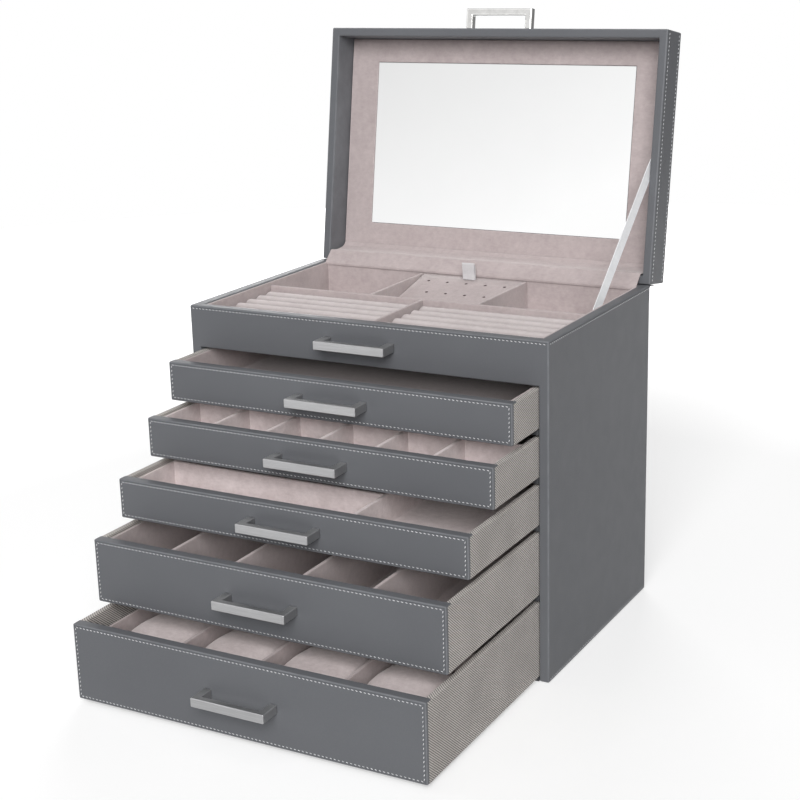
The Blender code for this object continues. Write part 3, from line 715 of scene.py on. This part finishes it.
def thread_template():
    """Vertices and faces of one stitch: a plump thread whose ends dive into the leather."""
    points = [(-STITCH_LENGTH / 2, 0.0, -STITCH_HEIGHT / 2)]
    for share in STITCH_RINGS:
        swell = math.sqrt(1 - STITCH_TAPER * share * share)
        for side in range(STITCH_SIDES):
            angle = 2 * math.pi * side / STITCH_SIDES
            across = STITCH_WIDTH / 2 * swell * math.cos(angle)
            arch = STITCH_LIFT - STITCH_DIVE * share * share
            rise = STITCH_HEIGHT * (0.5 * swell * math.sin(angle) + arch)
            points.append((share * STITCH_LENGTH / 2, across, rise))
    points.append((STITCH_LENGTH / 2, 0.0, -STITCH_HEIGHT / 2))
    faces = []
    last = len(points) - 1
    final = last - STITCH_SIDES
    for side in range(STITCH_SIDES):
        after = (side + 1) % STITCH_SIDES
        faces.append((0, 1 + after, 1 + side))
        for low in range(1, final, STITCH_SIDES):
            high = low + STITCH_SIDES
            faces.append((low + side, low + after, high + after, high + side))
        faces.append((final + side, final + after, last))
    return np.array(points), faces


def add_stitching(name, stitches, body, transform=None):
    """All of a body's stitches as one piece of thread."""
    template, faces = thread_template()
    points = []
    joined = []
    for centre, direction, normal in stitches:
        basis = np.array([direction, normal.cross(direction), normal])
        joined += [tuple(len(points) * len(template) + i for i in face) for face in faces]
        points.append(np.array(centre) + template @ basis)
    mesh = bpy.data.meshes.new(name)
    mesh.from_pydata(np.concatenate(points).tolist(), [], joined)
    if transform:
        mesh.transform(transform)
    mesh.shade_smooth()
    return add_piece(name, mesh, "thread", body)


def on_skin(xs, ys):
    """Test of whether a place lies on the outer faces of a wrap that fills those lines."""

    def outside(place):
        end = abs(place.x) > xs[-1] - SKIN_DEPTH
        return end or place.y < ys[0] + SKIN_DEPTH or place.y > ys[-1] - SKIN_DEPTH

    return outside


def front_run(xs, ys, level):
    """Stitches along the front of a wrap, at one level."""
    left, right = xs[0] + STITCH_END_GAP, xs[-1] - STITCH_END_GAP
    return stitch_run((left, ys[0], level), (right, ys[0], level), (0, -1, 0))


def side_runs(xs, ys, level):
    """Stitches along both ends of a wrap, at one level."""
    runs = []
    for x, normal in ((xs[0], -1), (xs[-1], 1)):
        start, end = (ys[0] + STITCH_END_GAP, ys[-1] - STITCH_END_GAP)[::normal]
        runs += stitch_run((x, start, level), (x, end, level), (normal, 0, 0))
    return runs


def build_cabinet_cover():
    """Leather wrap of the cabinet: sides, back and fascia in one skin, sewn along its top edge."""
    left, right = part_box("side_panel_left"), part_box("side_panel_right")
    fascia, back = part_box("front_fascia"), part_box("back_panel")
    xs = (left[0].x, left[1].x, right[0].x, right[1].x)
    ys = (left[0].y, fascia[1].y, back[0].y, left[1].y)
    zs = (left[0].z, fascia[0].z, left[1].z)
    shape = walled_shape(xs, ys, zs, lambda i, j, k: i != 1 or j == 2 or (j == 0 and k == 1))
    press_seam(shape, zs[2] - SEAM_INSET, on_skin(xs, ys))
    mark_wear_and_highlight(shape)
    covered = ("side_panel_left", "side_panel_right", "front_fascia", "back_panel")
    add_leather("cabinet_cover", shape, "cabinet", covered)

    top = zs[2] - STITCH_INSET
    low = zs[0] + STITCH_INSET
    runs = front_run(xs, ys, top) + side_runs(xs, ys, top) + side_runs(xs, ys, low)
    add_stitching("cabinet_stitching", runs, "cabinet")


def lid_matrix():
    """From the closed lid, measured from the hinge axis, to the open lid at rest."""
    hinge = joints["lid_hinge"]
    swing = Matrix.Rotation(math.radians(hinge["range_deg"][0]), 4, "X")
    return Matrix.Translation(hinge["pos_m"]) @ swing


def closed_box(node):
    """Corners of a lid node in the closed position, measured from the hinge axis."""
    back = lid_matrix().inverted()
    places = [back @ vertex.co for vertex in nodes[node].data.vertices]
    low = Vector([min(place[axis] for place in places) for axis in range(3)])
    return low, Vector([max(place[axis] for place in places) for axis in range(3)])


def build_lid_cover():
    """Leather wrap of the lid: four walls and the top in one skin, sewn along both edges."""
    left, right = closed_box("lid_wall_left"), closed_box("lid_wall_right")
    front, rear = closed_box("lid_wall_front"), closed_box("lid_wall_rear")
    panel = closed_box("lid_panel")
    xs = (left[0].x, left[1].x, right[0].x, right[1].x)
    ys = (front[0].y, front[1].y, rear[0].y, rear[1].y)
    zs = (left[0].z, panel[0].z, panel[1].z)
    shape = walled_shape(xs, ys, zs, lambda i, j, k: not (i == 1 and j == 1 and k == 0))
    for level in (zs[0] + LID_SEAM_INSET, zs[2] - LID_SEAM_INSET):
        press_seam(shape, level, on_skin(xs, ys))
    mark_wear_and_highlight(shape)
    shape.transform(lid_matrix())
    covered = ("lid_wall_left", "lid_wall_right", "lid_wall_front", "lid_wall_rear", "lid_panel")
    add_leather("lid_cover", shape, "lid", covered)

    runs = []
    top = zs[2] - STITCH_LID_INSET
    for level in (zs[0] + STITCH_LID_INSET, top):
        runs += front_run(xs, ys, level) + side_runs(xs, ys, level)
    start, end = xs[3] - STITCH_END_GAP, xs[0] + STITCH_END_GAP
    runs += stitch_run((start, ys[3], top), (end, ys[3], top), (0, 1, 0))
    add_stitching("lid_stitching", runs, "lid", lid_matrix())


def rounded_ring(shape, low, high, inset, y):
    """Vertices of one rounded rectangle in an XZ plane."""
    radius = max(FRONT_CORNER - inset, FRONT_CORNER_MIN)
    centre = (low + high) / 2
    reach_x = (high.x - low.x) / 2 - inset - radius
    reach_z = (high.z - low.z) / 2 - inset - radius
    ring = []
    for quarter, (side_x, side_z) in enumerate(((1, 1), (-1, 1), (-1, -1), (1, -1))):
        for step in range(FRONT_STEPS + 1):
            angle = math.pi / 2 * (quarter + step / FRONT_STEPS)
            x = centre.x + side_x * reach_x + radius * math.cos(angle)
            z = centre.z + side_z * reach_z + radius * math.sin(angle)
            ring.append(shape.verts.new((x, y, z)))
    return ring


def front_profile(thickness):
    """(inset, depth behind the face, rubbing and painted highlight, seam) from the back edge round to the
    middle of the face.
    """
    profile = [(FRONT_CHAMFER, thickness, 0.0, 0.0), (0.0, thickness - FRONT_CHAMFER, 0.0, 0.0)]
    for step in range(FRONT_STEPS + 1):
        angle = math.pi / 2 * step / FRONT_STEPS
        # Rounded rim steps take the rubbing and painted highlight
        worn_and_highlit = 1.0 if 0 < step < FRONT_STEPS else 0.0
        inset, depth = FRONT_EDGE * (1 - math.cos(angle)), FRONT_EDGE * (1 - math.sin(angle))
        profile.append((inset, depth, worn_and_highlit, 0.0))
    profile.append((SEAM_INSET - SEAM_HALF_WIDTH, 0.0, 0.0, 0.0))
    profile.append((SEAM_INSET, SEAM_DEPTH, 0.0, FRONT_SEAM_MARK))
    profile.append((SEAM_INSET + SEAM_HALF_WIDTH, 0.0, 0.0, 0.0))
    return profile + [(STITCH_INSET + beyond, -swell, 0.0, 0.0) for beyond, swell in FRONT_PADDING]


def build_drawer_front(number):
    """Leather-covered drawer front: rounded rim, pressed seam and a row of stitches all round."""
    node = f"drawer_{number}_front"
    low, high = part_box(node)
    shape = bmesh.new()
    marks = finish_marks(shape)
    rings = []
    for inset, depth, wear_and_highlight, seam in front_profile(high.y - low.y):
        ring = rounded_ring(shape, low, high, inset, low.y + depth)
        for vertex in ring:
            vertex[marks] = (wear_and_highlight, seam, 0.0, 1.0)
        rings.append(ring)
    for first, second in zip(rings, rings[1:]):
        for index, vertex in enumerate(first):
            after = (index + 1) % len(first)
            shape.faces.new((vertex, first[after], second[after], second[index]))
    shape.faces.new(rings[0])
    shape.faces.new(rings[-1])
    bmesh.ops.recalc_face_normals(shape, faces=shape.faces)
    body = f"drawer_{number}"
    add_leather(f"{body}_leather", shape, body, (node,))

    build_end_cloth(number, low, high)
    left, right = low.x + STITCH_INSET, high.x - STITCH_INSET
    bottom, top = low.z + STITCH_INSET, high.z - STITCH_INSET
    loop = ((left, top), (right, top), (right, bottom), (left, bottom))
    runs = []
    for (x1, z1), (x2, z2) in zip(loop, loop[1:] + loop[:1]):
        runs += stitch_run((x1, low.y, z1), (x2, low.y, z2), (0, -1, 0))
    add_stitching(f"{body}_stitching", runs, body)


def build_end_cloth(number, low, high):
    """The box's cloth, carried forward over both ends of the front and turned in behind the leather."""
    lap = END_CLOTH_START + END_CLOTH_LAP
    ys = np.array([END_CLOTH_START, lap, END_CLOTH_FLAT, high.y - low.y + END_CLOTH_LAP]) + low.y
    zs = np.linspace(low.z + END_CLOTH_FOOT, high.z - END_CLOTH_TOP, END_CLOTH_ROWS)
    points = []
    faces = []
    for side, edge in ((-1, low.x), (1, high.x)):
        faces += sheet_faces(len(ys), len(zs), len(points))
        for outward in (0.0, -END_CLOTH_THICKNESS):
            for y, lift in zip(ys, END_CLOTH_LIFT):
                points += [(edge + side * (lift + outward), y, z) for z in zs]
    body = f"drawer_{number}"
    mesh = to_mesh("end_cloth", closed_shape(points, faces))
    add_piece(f"{body}_end_cloth", mesh, "woven_cloth", body)


def soften(node, width):
    """Rounds the edges of a CAD node that stays, without touching its mesh."""
    piece = nodes[node]
    weld = piece.modifiers.new("join_corners", "WELD")
    weld.merge_threshold = MERGE_DISTANCE
    flat = piece.modifiers.new("join_faces", "DECIMATE")
    flat.decimate_type = "DISSOLVE"
    flat.angle_limit = JOIN_ANGLE
    bevel = piece.modifiers.new("soft_edges", "BEVEL")
    bevel.width = width
    bevel.segments = SOFT_SEGMENTS
    bevel.limit_method = "ANGLE"
    bevel.angle_limit = SHARP_ANGLE
    weigh_normals(piece)


def dress(node, finish, edge=None):
    """Finish of a CAD node that stays, and the width of its soft edges, where it has them."""
    nodes[node].material_slots[0].material = FINISHES[finish]
    if edge:
        soften(node, edge)


def dress_cad_nodes():
    for number in DRAWERS:
        # The inserts of drawers 2 and 3 take the lighter velvet copy: painted light
        painted_light = number in PAINTED_LIGHT_INSERTS
        dress(f"drawer_{number}_insert", "pale_velvet" if painted_light else "taupe_velvet", INSERT_EDGE)
        dress(f"drawer_{number}_box", "woven_cloth", BOX_EDGE)
        dress(f"drawer_{number}_pull", "brushed_nickel")
    dress("fascia_pull", "brushed_nickel")
    dress("lid_pull", "polished_nickel", PULL_EDGE)
    for node in ("tray_lining", "lid_lining"):
        dress(node, "taupe_velvet", LINING_EDGE)
    for node in ("tray_cross_divider", "ring_divider", "earring_divider_left", "earring_divider_right"):
        dress(node, "taupe_velvet")
    dress("mirror", "mirror_glass")
    for node in ("shelf_1", "shelf_2", "shelf_3", "shelf_4", "bottom_panel", "tray_deck"):
        dress(node, "dark_board")


def grid_faces(rows, columns, start=0, flip=False):
    faces = []
    for row in range(rows - 1):
        for column in range(columns - 1):
            first = start + row * columns + column
            quad = (first, first + 1, first + columns + 1, first + columns)
            faces.append(quad[::-1] if flip else quad)
    return faces


def rim_indices(rows, columns):
    """Border of a grid, in order round it."""
    rim = list(range(columns))
    rim += [row * columns + columns - 1 for row in range(1, rows)]
    rim += [(rows - 1) * columns + column for column in range(columns - 2, -1, -1)]
    return rim + [row * columns for row in range(rows - 2, 0, -1)]


def sheet_faces(rows, columns, start=0):
    """Faces of two grids of points, one after the other, joined round their borders."""
    count = rows * columns
    faces = grid_faces(rows, columns, start) + grid_faces(rows, columns, start + count, True)
    rim = [start + index for index in rim_indices(rows, columns)]
    for first, second in zip(rim, rim[1:] + rim[:1]):
        faces.append((second, first, first + count, second + count))
    return faces


def thick_sheet(name, grid, thickness):
    """Closed mesh of a sheet that follows a grid of points, half its thickness to each side."""
    rows, columns, _ = grid.shape
    across = np.gradient(grid, axis=1)
    along = np.gradient(grid, axis=0)
    normal = np.cross(along, across)
    normal /= np.linalg.norm(normal, axis=2, keepdims=True)
    front = (grid + normal * thickness / 2).reshape(-1, 3)
    behind = (grid - normal * thickness / 2).reshape(-1, 3)
    shape = closed_shape(np.concatenate([front, behind]).tolist(), sheet_faces(rows, columns))
    return to_mesh(name, shape, SHEET_SHARP)


def smooth_path(points, steps):
    """Catmull-Rom curve through the points, with that many steps in each span."""
    points = [np.array(point, float) for point in points]
    ends = [2 * points[0] - points[1]] + points + [2 * points[-1] - points[-2]]
    path = []
    for before, start, end, after in zip(ends, ends[1:], ends[2:], ends[3:]):
        for step in range(steps):
            t = step / steps
            pull = (end - before) * t
            rise = (2 * before - 5 * start + 4 * end - after) * t * t
            turn = (3 * start - before - 3 * end + after) * t * t * t
            path.append(start + (pull + rise + turn) / 2)
    return np.array(path + [points[-1]])


def ripple(values, waves):
    """Sum of slow waves, each (height, wavelength, offset), for cloth that isn't quite even."""
    total = 0.0
    for height, length, offset in waves:
        total = total + height * np.sin(2 * math.pi * values / length + offset)
    return total


def build_ring_cushion(side):
    """Velvet cushion of ring rolls: full rounded rolls with narrow sewn channels between them."""
    node = f"ring_cushion_{side}"
    low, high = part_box(node)
    pitch = (high.y - low.y) / RING_ROLLS
    spread = np.sin(np.linspace(-math.pi / 2, math.pi / 2, ROLL_STEPS))
    ys, shares = [low.y], [0.0]
    for roll in range(RING_ROLLS):
        middle = low.y + (roll + 0.5) * pitch
        ys += list(middle + spread * pitch / 2 * ROLL_FILL)
        shares += list((1 - np.abs(spread) ** ROLL_POWER) ** (1 / ROLL_POWER))
    ys = np.array(ys + [high.y])
    shares = np.array(shares + [0.0])
    near = ROLL_END * (1 - np.cos(np.linspace(0, math.pi / 2, ROLL_END_STEPS)))
    middle_xs = np.linspace(low.x + ROLL_END, high.x - ROLL_END, ROLL_COLUMNS)[1:-1]
    xs = np.concatenate([low.x + near, middle_xs, high.x - near[::-1]])
    edge = np.minimum(xs - low.x, high.x - xs).clip(0, ROLL_END) / ROLL_END
    ends = np.sqrt(np.clip(1 - (1 - edge) ** 2, 0, 1))
    valley = high.z - ROLL_HEIGHT
    uneven = ripple(xs[:, None] + ROLL_WAVE_SLANT * ys[None, :], ROLL_WAVES)
    full = ROLL_HEIGHT - (np.abs(uneven) + ROLL_SLACK)
    heights = valley + full * shares[None, :] * ends[:, None]
    grid = np.dstack(np.broadcast_arrays(xs[:, None], ys[None, :], heights))
    rows, columns, _ = grid.shape
    points = grid.reshape(-1, 3).tolist()
    rim = rim_indices(rows, columns)
    faces = grid_faces(rows, columns, flip=True)
    foot = len(points)
    points += [(points[index][0], points[index][1], low.z) for index in rim]
    for number, index in enumerate(rim):
        after = (number + 1) % len(rim)
        faces.append((index, rim[after], foot + after, foot + number))
    faces.append(tuple(range(foot, foot + len(rim))))
    shape = closed_shape(points, faces)
    marks = finish_marks(shape)
    # Painted shade: each roll's flank darkens below its crest, towards the channels
    for vertex in shape.verts:
        sunk = min(1.0, max(0.0, (high.z - vertex.co.z) / ROLL_HEIGHT))
        shade = min(1.0, max(0.0, (sunk - ROLL_CREST) / ROLL_FLANK))
        vertex[marks] = (0.0, ROLL_SHADE * shade, 0.0, 1.0)
    mesh = to_mesh(f"ring_rolls_{side}", shape, ROLL_SHARP)
    # The rolls take the lighter velvet copy: painted light and sheen
    cushion = add_piece(
        f"ring_rolls_{side}", mesh, "roll_velvet", "cabinet", replaces=(node,)
    )


def scaled_copy(node, scale):
    """Joined-up copy of a CAD node's mesh, shrunk towards the middle of its underside."""
    low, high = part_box(node)
    foot = Vector(((low.x + high.x) / 2, (low.y + high.y) / 2, low.z))
    shape = bmesh.new()
    shape.from_mesh(nodes[node].data)
    bmesh.ops.remove_doubles(shape, verts=shape.verts, dist=MERGE_DISTANCE)
    for vertex in shape.verts:
        vertex.co = foot + (vertex.co - foot) * scale
    return to_mesh("pillow_start", shape)


def remeshed(mesh, voxel):
    """Even mesh of the same form."""
    carrier = add_object("pillow_remesh", mesh)
    remesh = carrier.modifiers.new("even", "REMESH")
    remesh.mode = "VOXEL"
    remesh.voxel_size = voxel
    seen = carrier.evaluated_get(bpy.context.evaluated_depsgraph_get())
    even = bpy.data.meshes.new_from_object(seen)
    bpy.data.objects.remove(carrier)
    return even


def blown_up(mesh, floor):
    """Mesh after its cloth has swelled under pressure, each point held to a small move."""
    start = np.array([vertex.co for vertex in mesh.vertices])
    scene = bpy.context.scene
    carrier = add_object("pillow_cloth", mesh)
    held = carrier.vertex_groups.new(name="foot")
    held.add([i for i, place in enumerate(start) if place[2] < floor + PILLOW_VOXEL / 2], 1.0, "REPLACE")
    cloth = carrier.modifiers.new("swell", "CLOTH")
    for name, value in PILLOW_CLOTH.items():
        setattr(cloth.settings, name, value)
    cloth.settings.effector_weights.gravity = 0.0
    for number in range(1, PILLOW_FRAMES + 1):
        scene.frame_set(number)
    seen = carrier.evaluated_get(bpy.context.evaluated_depsgraph_get())
    swollen = np.array([vertex.co for vertex in seen.data.vertices])
    scene.frame_set(1)
    move = swollen - start
    reach = np.linalg.norm(move, axis=1, keepdims=True)
    move *= np.minimum(1.0, PILLOW_CAP / np.maximum(reach, TINY))
    mesh.vertices.foreach_set("co", (start + move).ravel())
    bpy.data.objects.remove(carrier)
    return mesh


def pillow_mesh(node):
    """Stuffed pillow in the space of its CAD solid, with a sewn seam near each end."""
    low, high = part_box(node)
    mesh = remeshed(scaled_copy(node, PILLOW_SCALE), PILLOW_VOXEL)
    mesh = blown_up(mesh, low.z)
    shape = bmesh.new()
    shape.from_mesh(mesh)
    bmesh.ops.subdivide_edges(shape, edges=shape.edges, cuts=1, use_grid_fill=True, smooth=1.0)
    shape.normal_update()
    centre = (low + high) / 2
    inside = (high - low) / 2
    seams = (low.x + PILLOW_SEAM_INSET, high.x - PILLOW_SEAM_INSET)
    for vertex in shape.verts:
        seam = min(abs(vertex.co.x - place) for place in seams)
        vertex.co -= vertex.normal * PILLOW_SEAM_DEPTH * math.exp(-((seam / PILLOW_SEAM_WIDTH) ** 2))
    for vertex in shape.verts:
        offset = vertex.co - centre
        across = min(1.0, abs(offset.x) / inside.x)
        offset.z -= PILLOW_CROWN * across**PILLOW_CROWN_POWER * max(0.0, offset.z / inside.z)
        for axis in range(3):
            offset[axis] = max(-inside[axis], min(inside[axis], offset[axis]))
        vertex.co = centre + offset
    return to_mesh("watch_pillow_soft", shape)


def build_pillows():
    """Four equal watch pillows, one in each bay."""
    soft = pillow_mesh("watch_pillow_1")
    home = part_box("watch_pillow_1")[0]
    for bay in WATCH_BAYS:
        node = f"watch_pillow_{bay}"
        mesh = soft.copy()
        mesh.transform(Matrix.Translation(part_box(node)[0] - home))
        # The pillows take the lighter velvet copy: painted light
        pillow = add_piece(
            f"{node}_soft", mesh, "pale_velvet", "drawer_5", replaces=(node,)
        )


def lid_yz(along, depth):
    """(y, z) of a point of the open lid: distance from the hinge, and depth in from the rim."""
    return (lid_matrix() @ Vector((0.0, -along, depth))).yz


def swept_across(path, half_width, count):
    """Grid of points: an outline of (y, z) points repeated across X."""
    xs = np.linspace(-half_width, half_width, count)
    return np.dstack(np.broadcast_arrays(xs[None, :], path[:, :1], path[:, 1:]))


def build_gusset():
    """Velvet gusset that lines the hinge, from the tray's rear rim over the lid's rear wall."""
    low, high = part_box("hinge_lining")
    wall = -closed_box("lid_wall_rear")[0].y
    floor = closed_box("lid_lining")[0].z
    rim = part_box("tray_lining")[1]
    inner = rim.y - TRAY_WALL - SHEET_THICKNESS
    points = [(inner + back, rim.z + rise) for back, rise in GUSSET_TRAY]
    points.append((low.y + GUSSET_FOLD[0], low.z + GUSSET_FOLD[1]))
    points += [lid_yz(wall + up, floor * share + deeper) for up, share, deeper in GUSSET_LID]
    path = smooth_path(points, FOLD_STEPS)
    half = (high.x - low.x) / 2
    grid = swept_across(path, half, GUSSET_COLUMNS)
    slack = np.sin(np.linspace(0, math.pi, len(path)))[:, None]
    grid[:, :, 2] += slack * ripple(grid[:, :, 0], GUSSET_WAVES)
    mesh = thick_sheet("hinge_gusset", grid, SHEET_THICKNESS)
    gusset = add_piece("hinge_gusset", mesh, "taupe_velvet", replaces=("hinge_lining",))
    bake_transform(gusset)


def build_hinge_strip():
    """Leather strip over the back of the hinge."""
    low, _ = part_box("hinge_strip")
    axis = joints["lid_hinge"]["pos_m"]
    points = [(axis[1] + STRIP_GAP, low.z)]
    points += [(axis[1] + STRIP_GAP + out, axis[2] + rise) for out, rise in STRIP_CABINET]
    points += [lid_yz(-STRIP_GAP, depth) for depth in STRIP_LID]
    path = smooth_path(points, FOLD_STEPS)
    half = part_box("side_panel_right")[1].x - COVER_EDGE / 2
    grid = swept_across(path, half, STRIP_COLUMNS)
    mesh = thick_sheet("hinge_strip_leather", grid, SHEET_THICKNESS)
    strip = add_piece("hinge_strip_leather", mesh, "grey_leather", replaces=("hinge_strip",))
    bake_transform(strip)


def build_stay():
    """Satin ribbon that stops the lid, sewn to the tray wall and the lid wall, a little turned between."""
    low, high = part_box("lid_stay")
    x_low = (low.x + high.x) / 2
    x_high = closed_box("lid_wall_right")[0].x - RIBBON_WALL_GAP
    run = Vector((0.0, high.y - low.y, high.z - low.z))
    tilt = math.atan2(run.z, run.y)
    across_flat = Vector((0.0, -math.sin(tilt), math.cos(tilt)))
    length = run.length - RIBBON_WIDTH * abs(math.sin(2 * tilt)) / 2 - 2 * RIBBON_END_GAP
    middle = Vector((0.0, (low.y + high.y) / 2, (low.z + high.z) / 2))
    along = run.normalized()
    grid = np.zeros((RIBBON_ROWS, RIBBON_COLUMNS, 3))
    for row in range(RIBBON_ROWS):
        share = row / (RIBBON_ROWS - 1)
        turn = RIBBON_TURN * min(1.0, share / RIBBON_SEWN, (1 - share) / RIBBON_SEWN)
        across = across_flat * math.cos(turn) + Vector((1.0, 0.0, 0.0)) * math.sin(turn)
        place = middle + along * length * (share - 0.5)
        place.x = x_low + (x_high - x_low) * share
        for column in range(RIBBON_COLUMNS):
            offset = (column / (RIBBON_COLUMNS - 1) - 0.5) * RIBBON_WIDTH
            grid[row, column] = place + across * offset
    mesh = thick_sheet("stay_ribbon", grid, RIBBON_THICKNESS)
    ribbon = add_piece("stay_ribbon", mesh, "satin_ribbon", replaces=("lid_stay",))
    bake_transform(ribbon)


def build_board():
    """Velvet-covered earring board, with painted shade on the walls of its holes."""
    node = "earring_board"
    low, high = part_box(node)
    shape = bmesh.new()
    shape.from_mesh(nodes[node].data)
    bmesh.ops.remove_doubles(shape, verts=shape.verts, dist=MERGE_DISTANCE)
    shape.normal_update()
    up = max(shape.faces, key=lambda face: face.calc_area()).normal.copy()

    def in_hole(face):
        centre = face.calc_center_median()
        across = low.x + BOARD_EDGE < centre.x < high.x - BOARD_EDGE
        along = low.y + BOARD_EDGE < centre.y < high.y - BOARD_EDGE
        return across and along and abs(face.normal.dot(up)) < HOLE_WALL

    walls = {face for face in shape.faces if in_hole(face)}
    rims = [edge for edge in shape.edges if len({face in walls for face in edge.link_faces}) == 2]
    bmesh.ops.split_edges(shape, edges=rims)
    marks = finish_marks(shape)
    # Painted shade: the velvet darkens on the walls of the holes
    for face in walls:
        for vertex in face.verts:
            vertex[marks] = (0.0, HOLE_SHADE, 0.0, 1.0)
    mesh = to_mesh("earring_board_velvet", shape)
    add_piece("earring_board_velvet", mesh, "taupe_velvet", "flap", replaces=(node,))


def build_tab():
    """Folded ribbon tab that lifts the earring board."""
    low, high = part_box("earring_tab")
    height = high.z - low.z
    points = [(low.y + behind, low.z + height * share + rise) for behind, share, rise in TAB_FOLD]
    path = smooth_path(points, TAB_STEPS)
    half = (high.x - low.x) / 2
    grid = swept_across(path, half, TAB_COLUMNS)
    mesh = thick_sheet("tab_ribbon", grid, RIBBON_THICKNESS)
    tab = add_piece("tab_ribbon", mesh, "satin_tab", "flap", replaces=("earring_tab",))


def build_world():
    """White surroundings; what shines sees them a little greyer to the left and behind."""
    world = bpy.data.worlds.new("studio")
    bpy.context.scene.world = world
    world.use_nodes = True
    sky = Nodes(world.node_tree)
    background = sky.tree.nodes["Background"]
    background.inputs["Color"].default_value = (1.0, 1.0, 1.0, 1.0)
    seen, glossy = sky.seen()
    direction = sky.node("ShaderNodeTexCoord").outputs["Generated"]
    slant = sky.node("ShaderNodeVectorMath", operation="DOT_PRODUCT")
    sky.join(direction, slant.inputs[0])
    sky.join(GLOSS_SLANT, slant.inputs[1])
    side = sky.spread(slant.outputs["Value"], (GLOSS_SIDE, 1.0), GLOSS_SIDE_SPAN)
    depth = sky.node("ShaderNodeSeparateXYZ", {"Vector": direction}).outputs["Y"]
    behind = sky.spread(depth, (side, GLOSS_BACK), GLOSS_BACK_SPAN)
    bright = sky.spread(glossy, (1.0, behind), FULL_SPAN)
    sky.join(sky.spread(seen, (AMBIENT, bright), FULL_SPAN), background.inputs["Strength"])


def build_floor():
    """Pale floor that fades into the white surroundings and keeps the chest's shadow."""
    shape = bmesh.new()
    bmesh.ops.create_circle(shape, cap_ends=True, segments=FLOOR_SEGMENTS, radius=FLOOR_RADIUS)
    floor = add_object("floor", to_mesh("floor", shape))
    floor.location.z = -FLOOR_DROP
    material = bpy.data.materials.new("pale_floor")
    material.use_nodes = True
    paint = Nodes(material.node_tree)
    paint.tree.nodes.remove(paint.tree.nodes["Principled BSDF"])
    grey = (FLOOR_ALBEDO, FLOOR_ALBEDO, FLOOR_ALBEDO, 1.0)
    diffuse = paint.node("ShaderNodeBsdfDiffuse", {"Color": grey})
    distance = paint.node("ShaderNodeVectorMath", operation="LENGTH")
    paint.join(paint.node("ShaderNodeTexCoord").outputs["Object"], distance.inputs[0])
    lift = paint.spread(distance.outputs["Value"], (FLOOR_LIFT, 1.0), FLOOR_FADE)
    seen, _ = paint.seen()
    glow = paint.spread(seen, (0.0, lift), FULL_SPAN)
    emission = paint.node("ShaderNodeEmission", {"Strength": glow})
    both = paint.node("ShaderNodeAddShader")
    paint.join(diffuse.outputs["BSDF"], both.inputs[0])
    paint.join(emission.outputs["Emission"], both.inputs[1])
    paint.join(both.outputs["Shader"], paint.tree.nodes["Material Output"].inputs["Surface"])
    floor.data.materials.append(material)


def add_softbox(name, place, target, size, power):
    lamp = bpy.data.lights.new(name, "AREA")
    lamp.shape = "SQUARE"
    lamp.size = size
    lamp.energy = power
    holder = add_object(name, lamp)
    holder.location = place
    holder.rotation_euler = (Vector(target) - Vector(place)).to_track_quat("-Z", "Y").to_euler()


def build_camera():
    """Camera at the photograph's angle, with its slight roll."""
    lens = bpy.data.cameras.new("camera")
    lens.sensor_width = CAMERA_SENSOR
    lens.lens = CAMERA_LENS
    camera = add_object("camera", lens)
    turn = Matrix.Rotation(CAMERA_AZIMUTH, 4, "Z")
    turn @= Matrix.Rotation(math.pi / 2 - CAMERA_ELEVATION, 4, "X")
    turn @= Matrix.Rotation(CAMERA_ROLL, 4, "Z")
    away = Matrix.Translation((0.0, 0.0, CAMERA_DISTANCE))
    camera.matrix_world = Matrix.Translation(CAMERA_TARGET) @ turn @ away
    bpy.context.scene.camera = camera


build_camera()
dress_cad_nodes()
build_cabinet_cover()
build_lid_cover()
for drawer in DRAWERS:
    build_drawer_front(drawer)
for cushion_side in ("left", "right"):
    build_ring_cushion(cushion_side)
build_pillows()
build_gusset()
build_hinge_strip()
build_stay()
build_board()
build_tab()

build_world()
build_floor()
for softbox in SOFTBOXES:
    add_softbox(*softbox)
bpy.context.scene.view_settings.view_transform = "Standard"
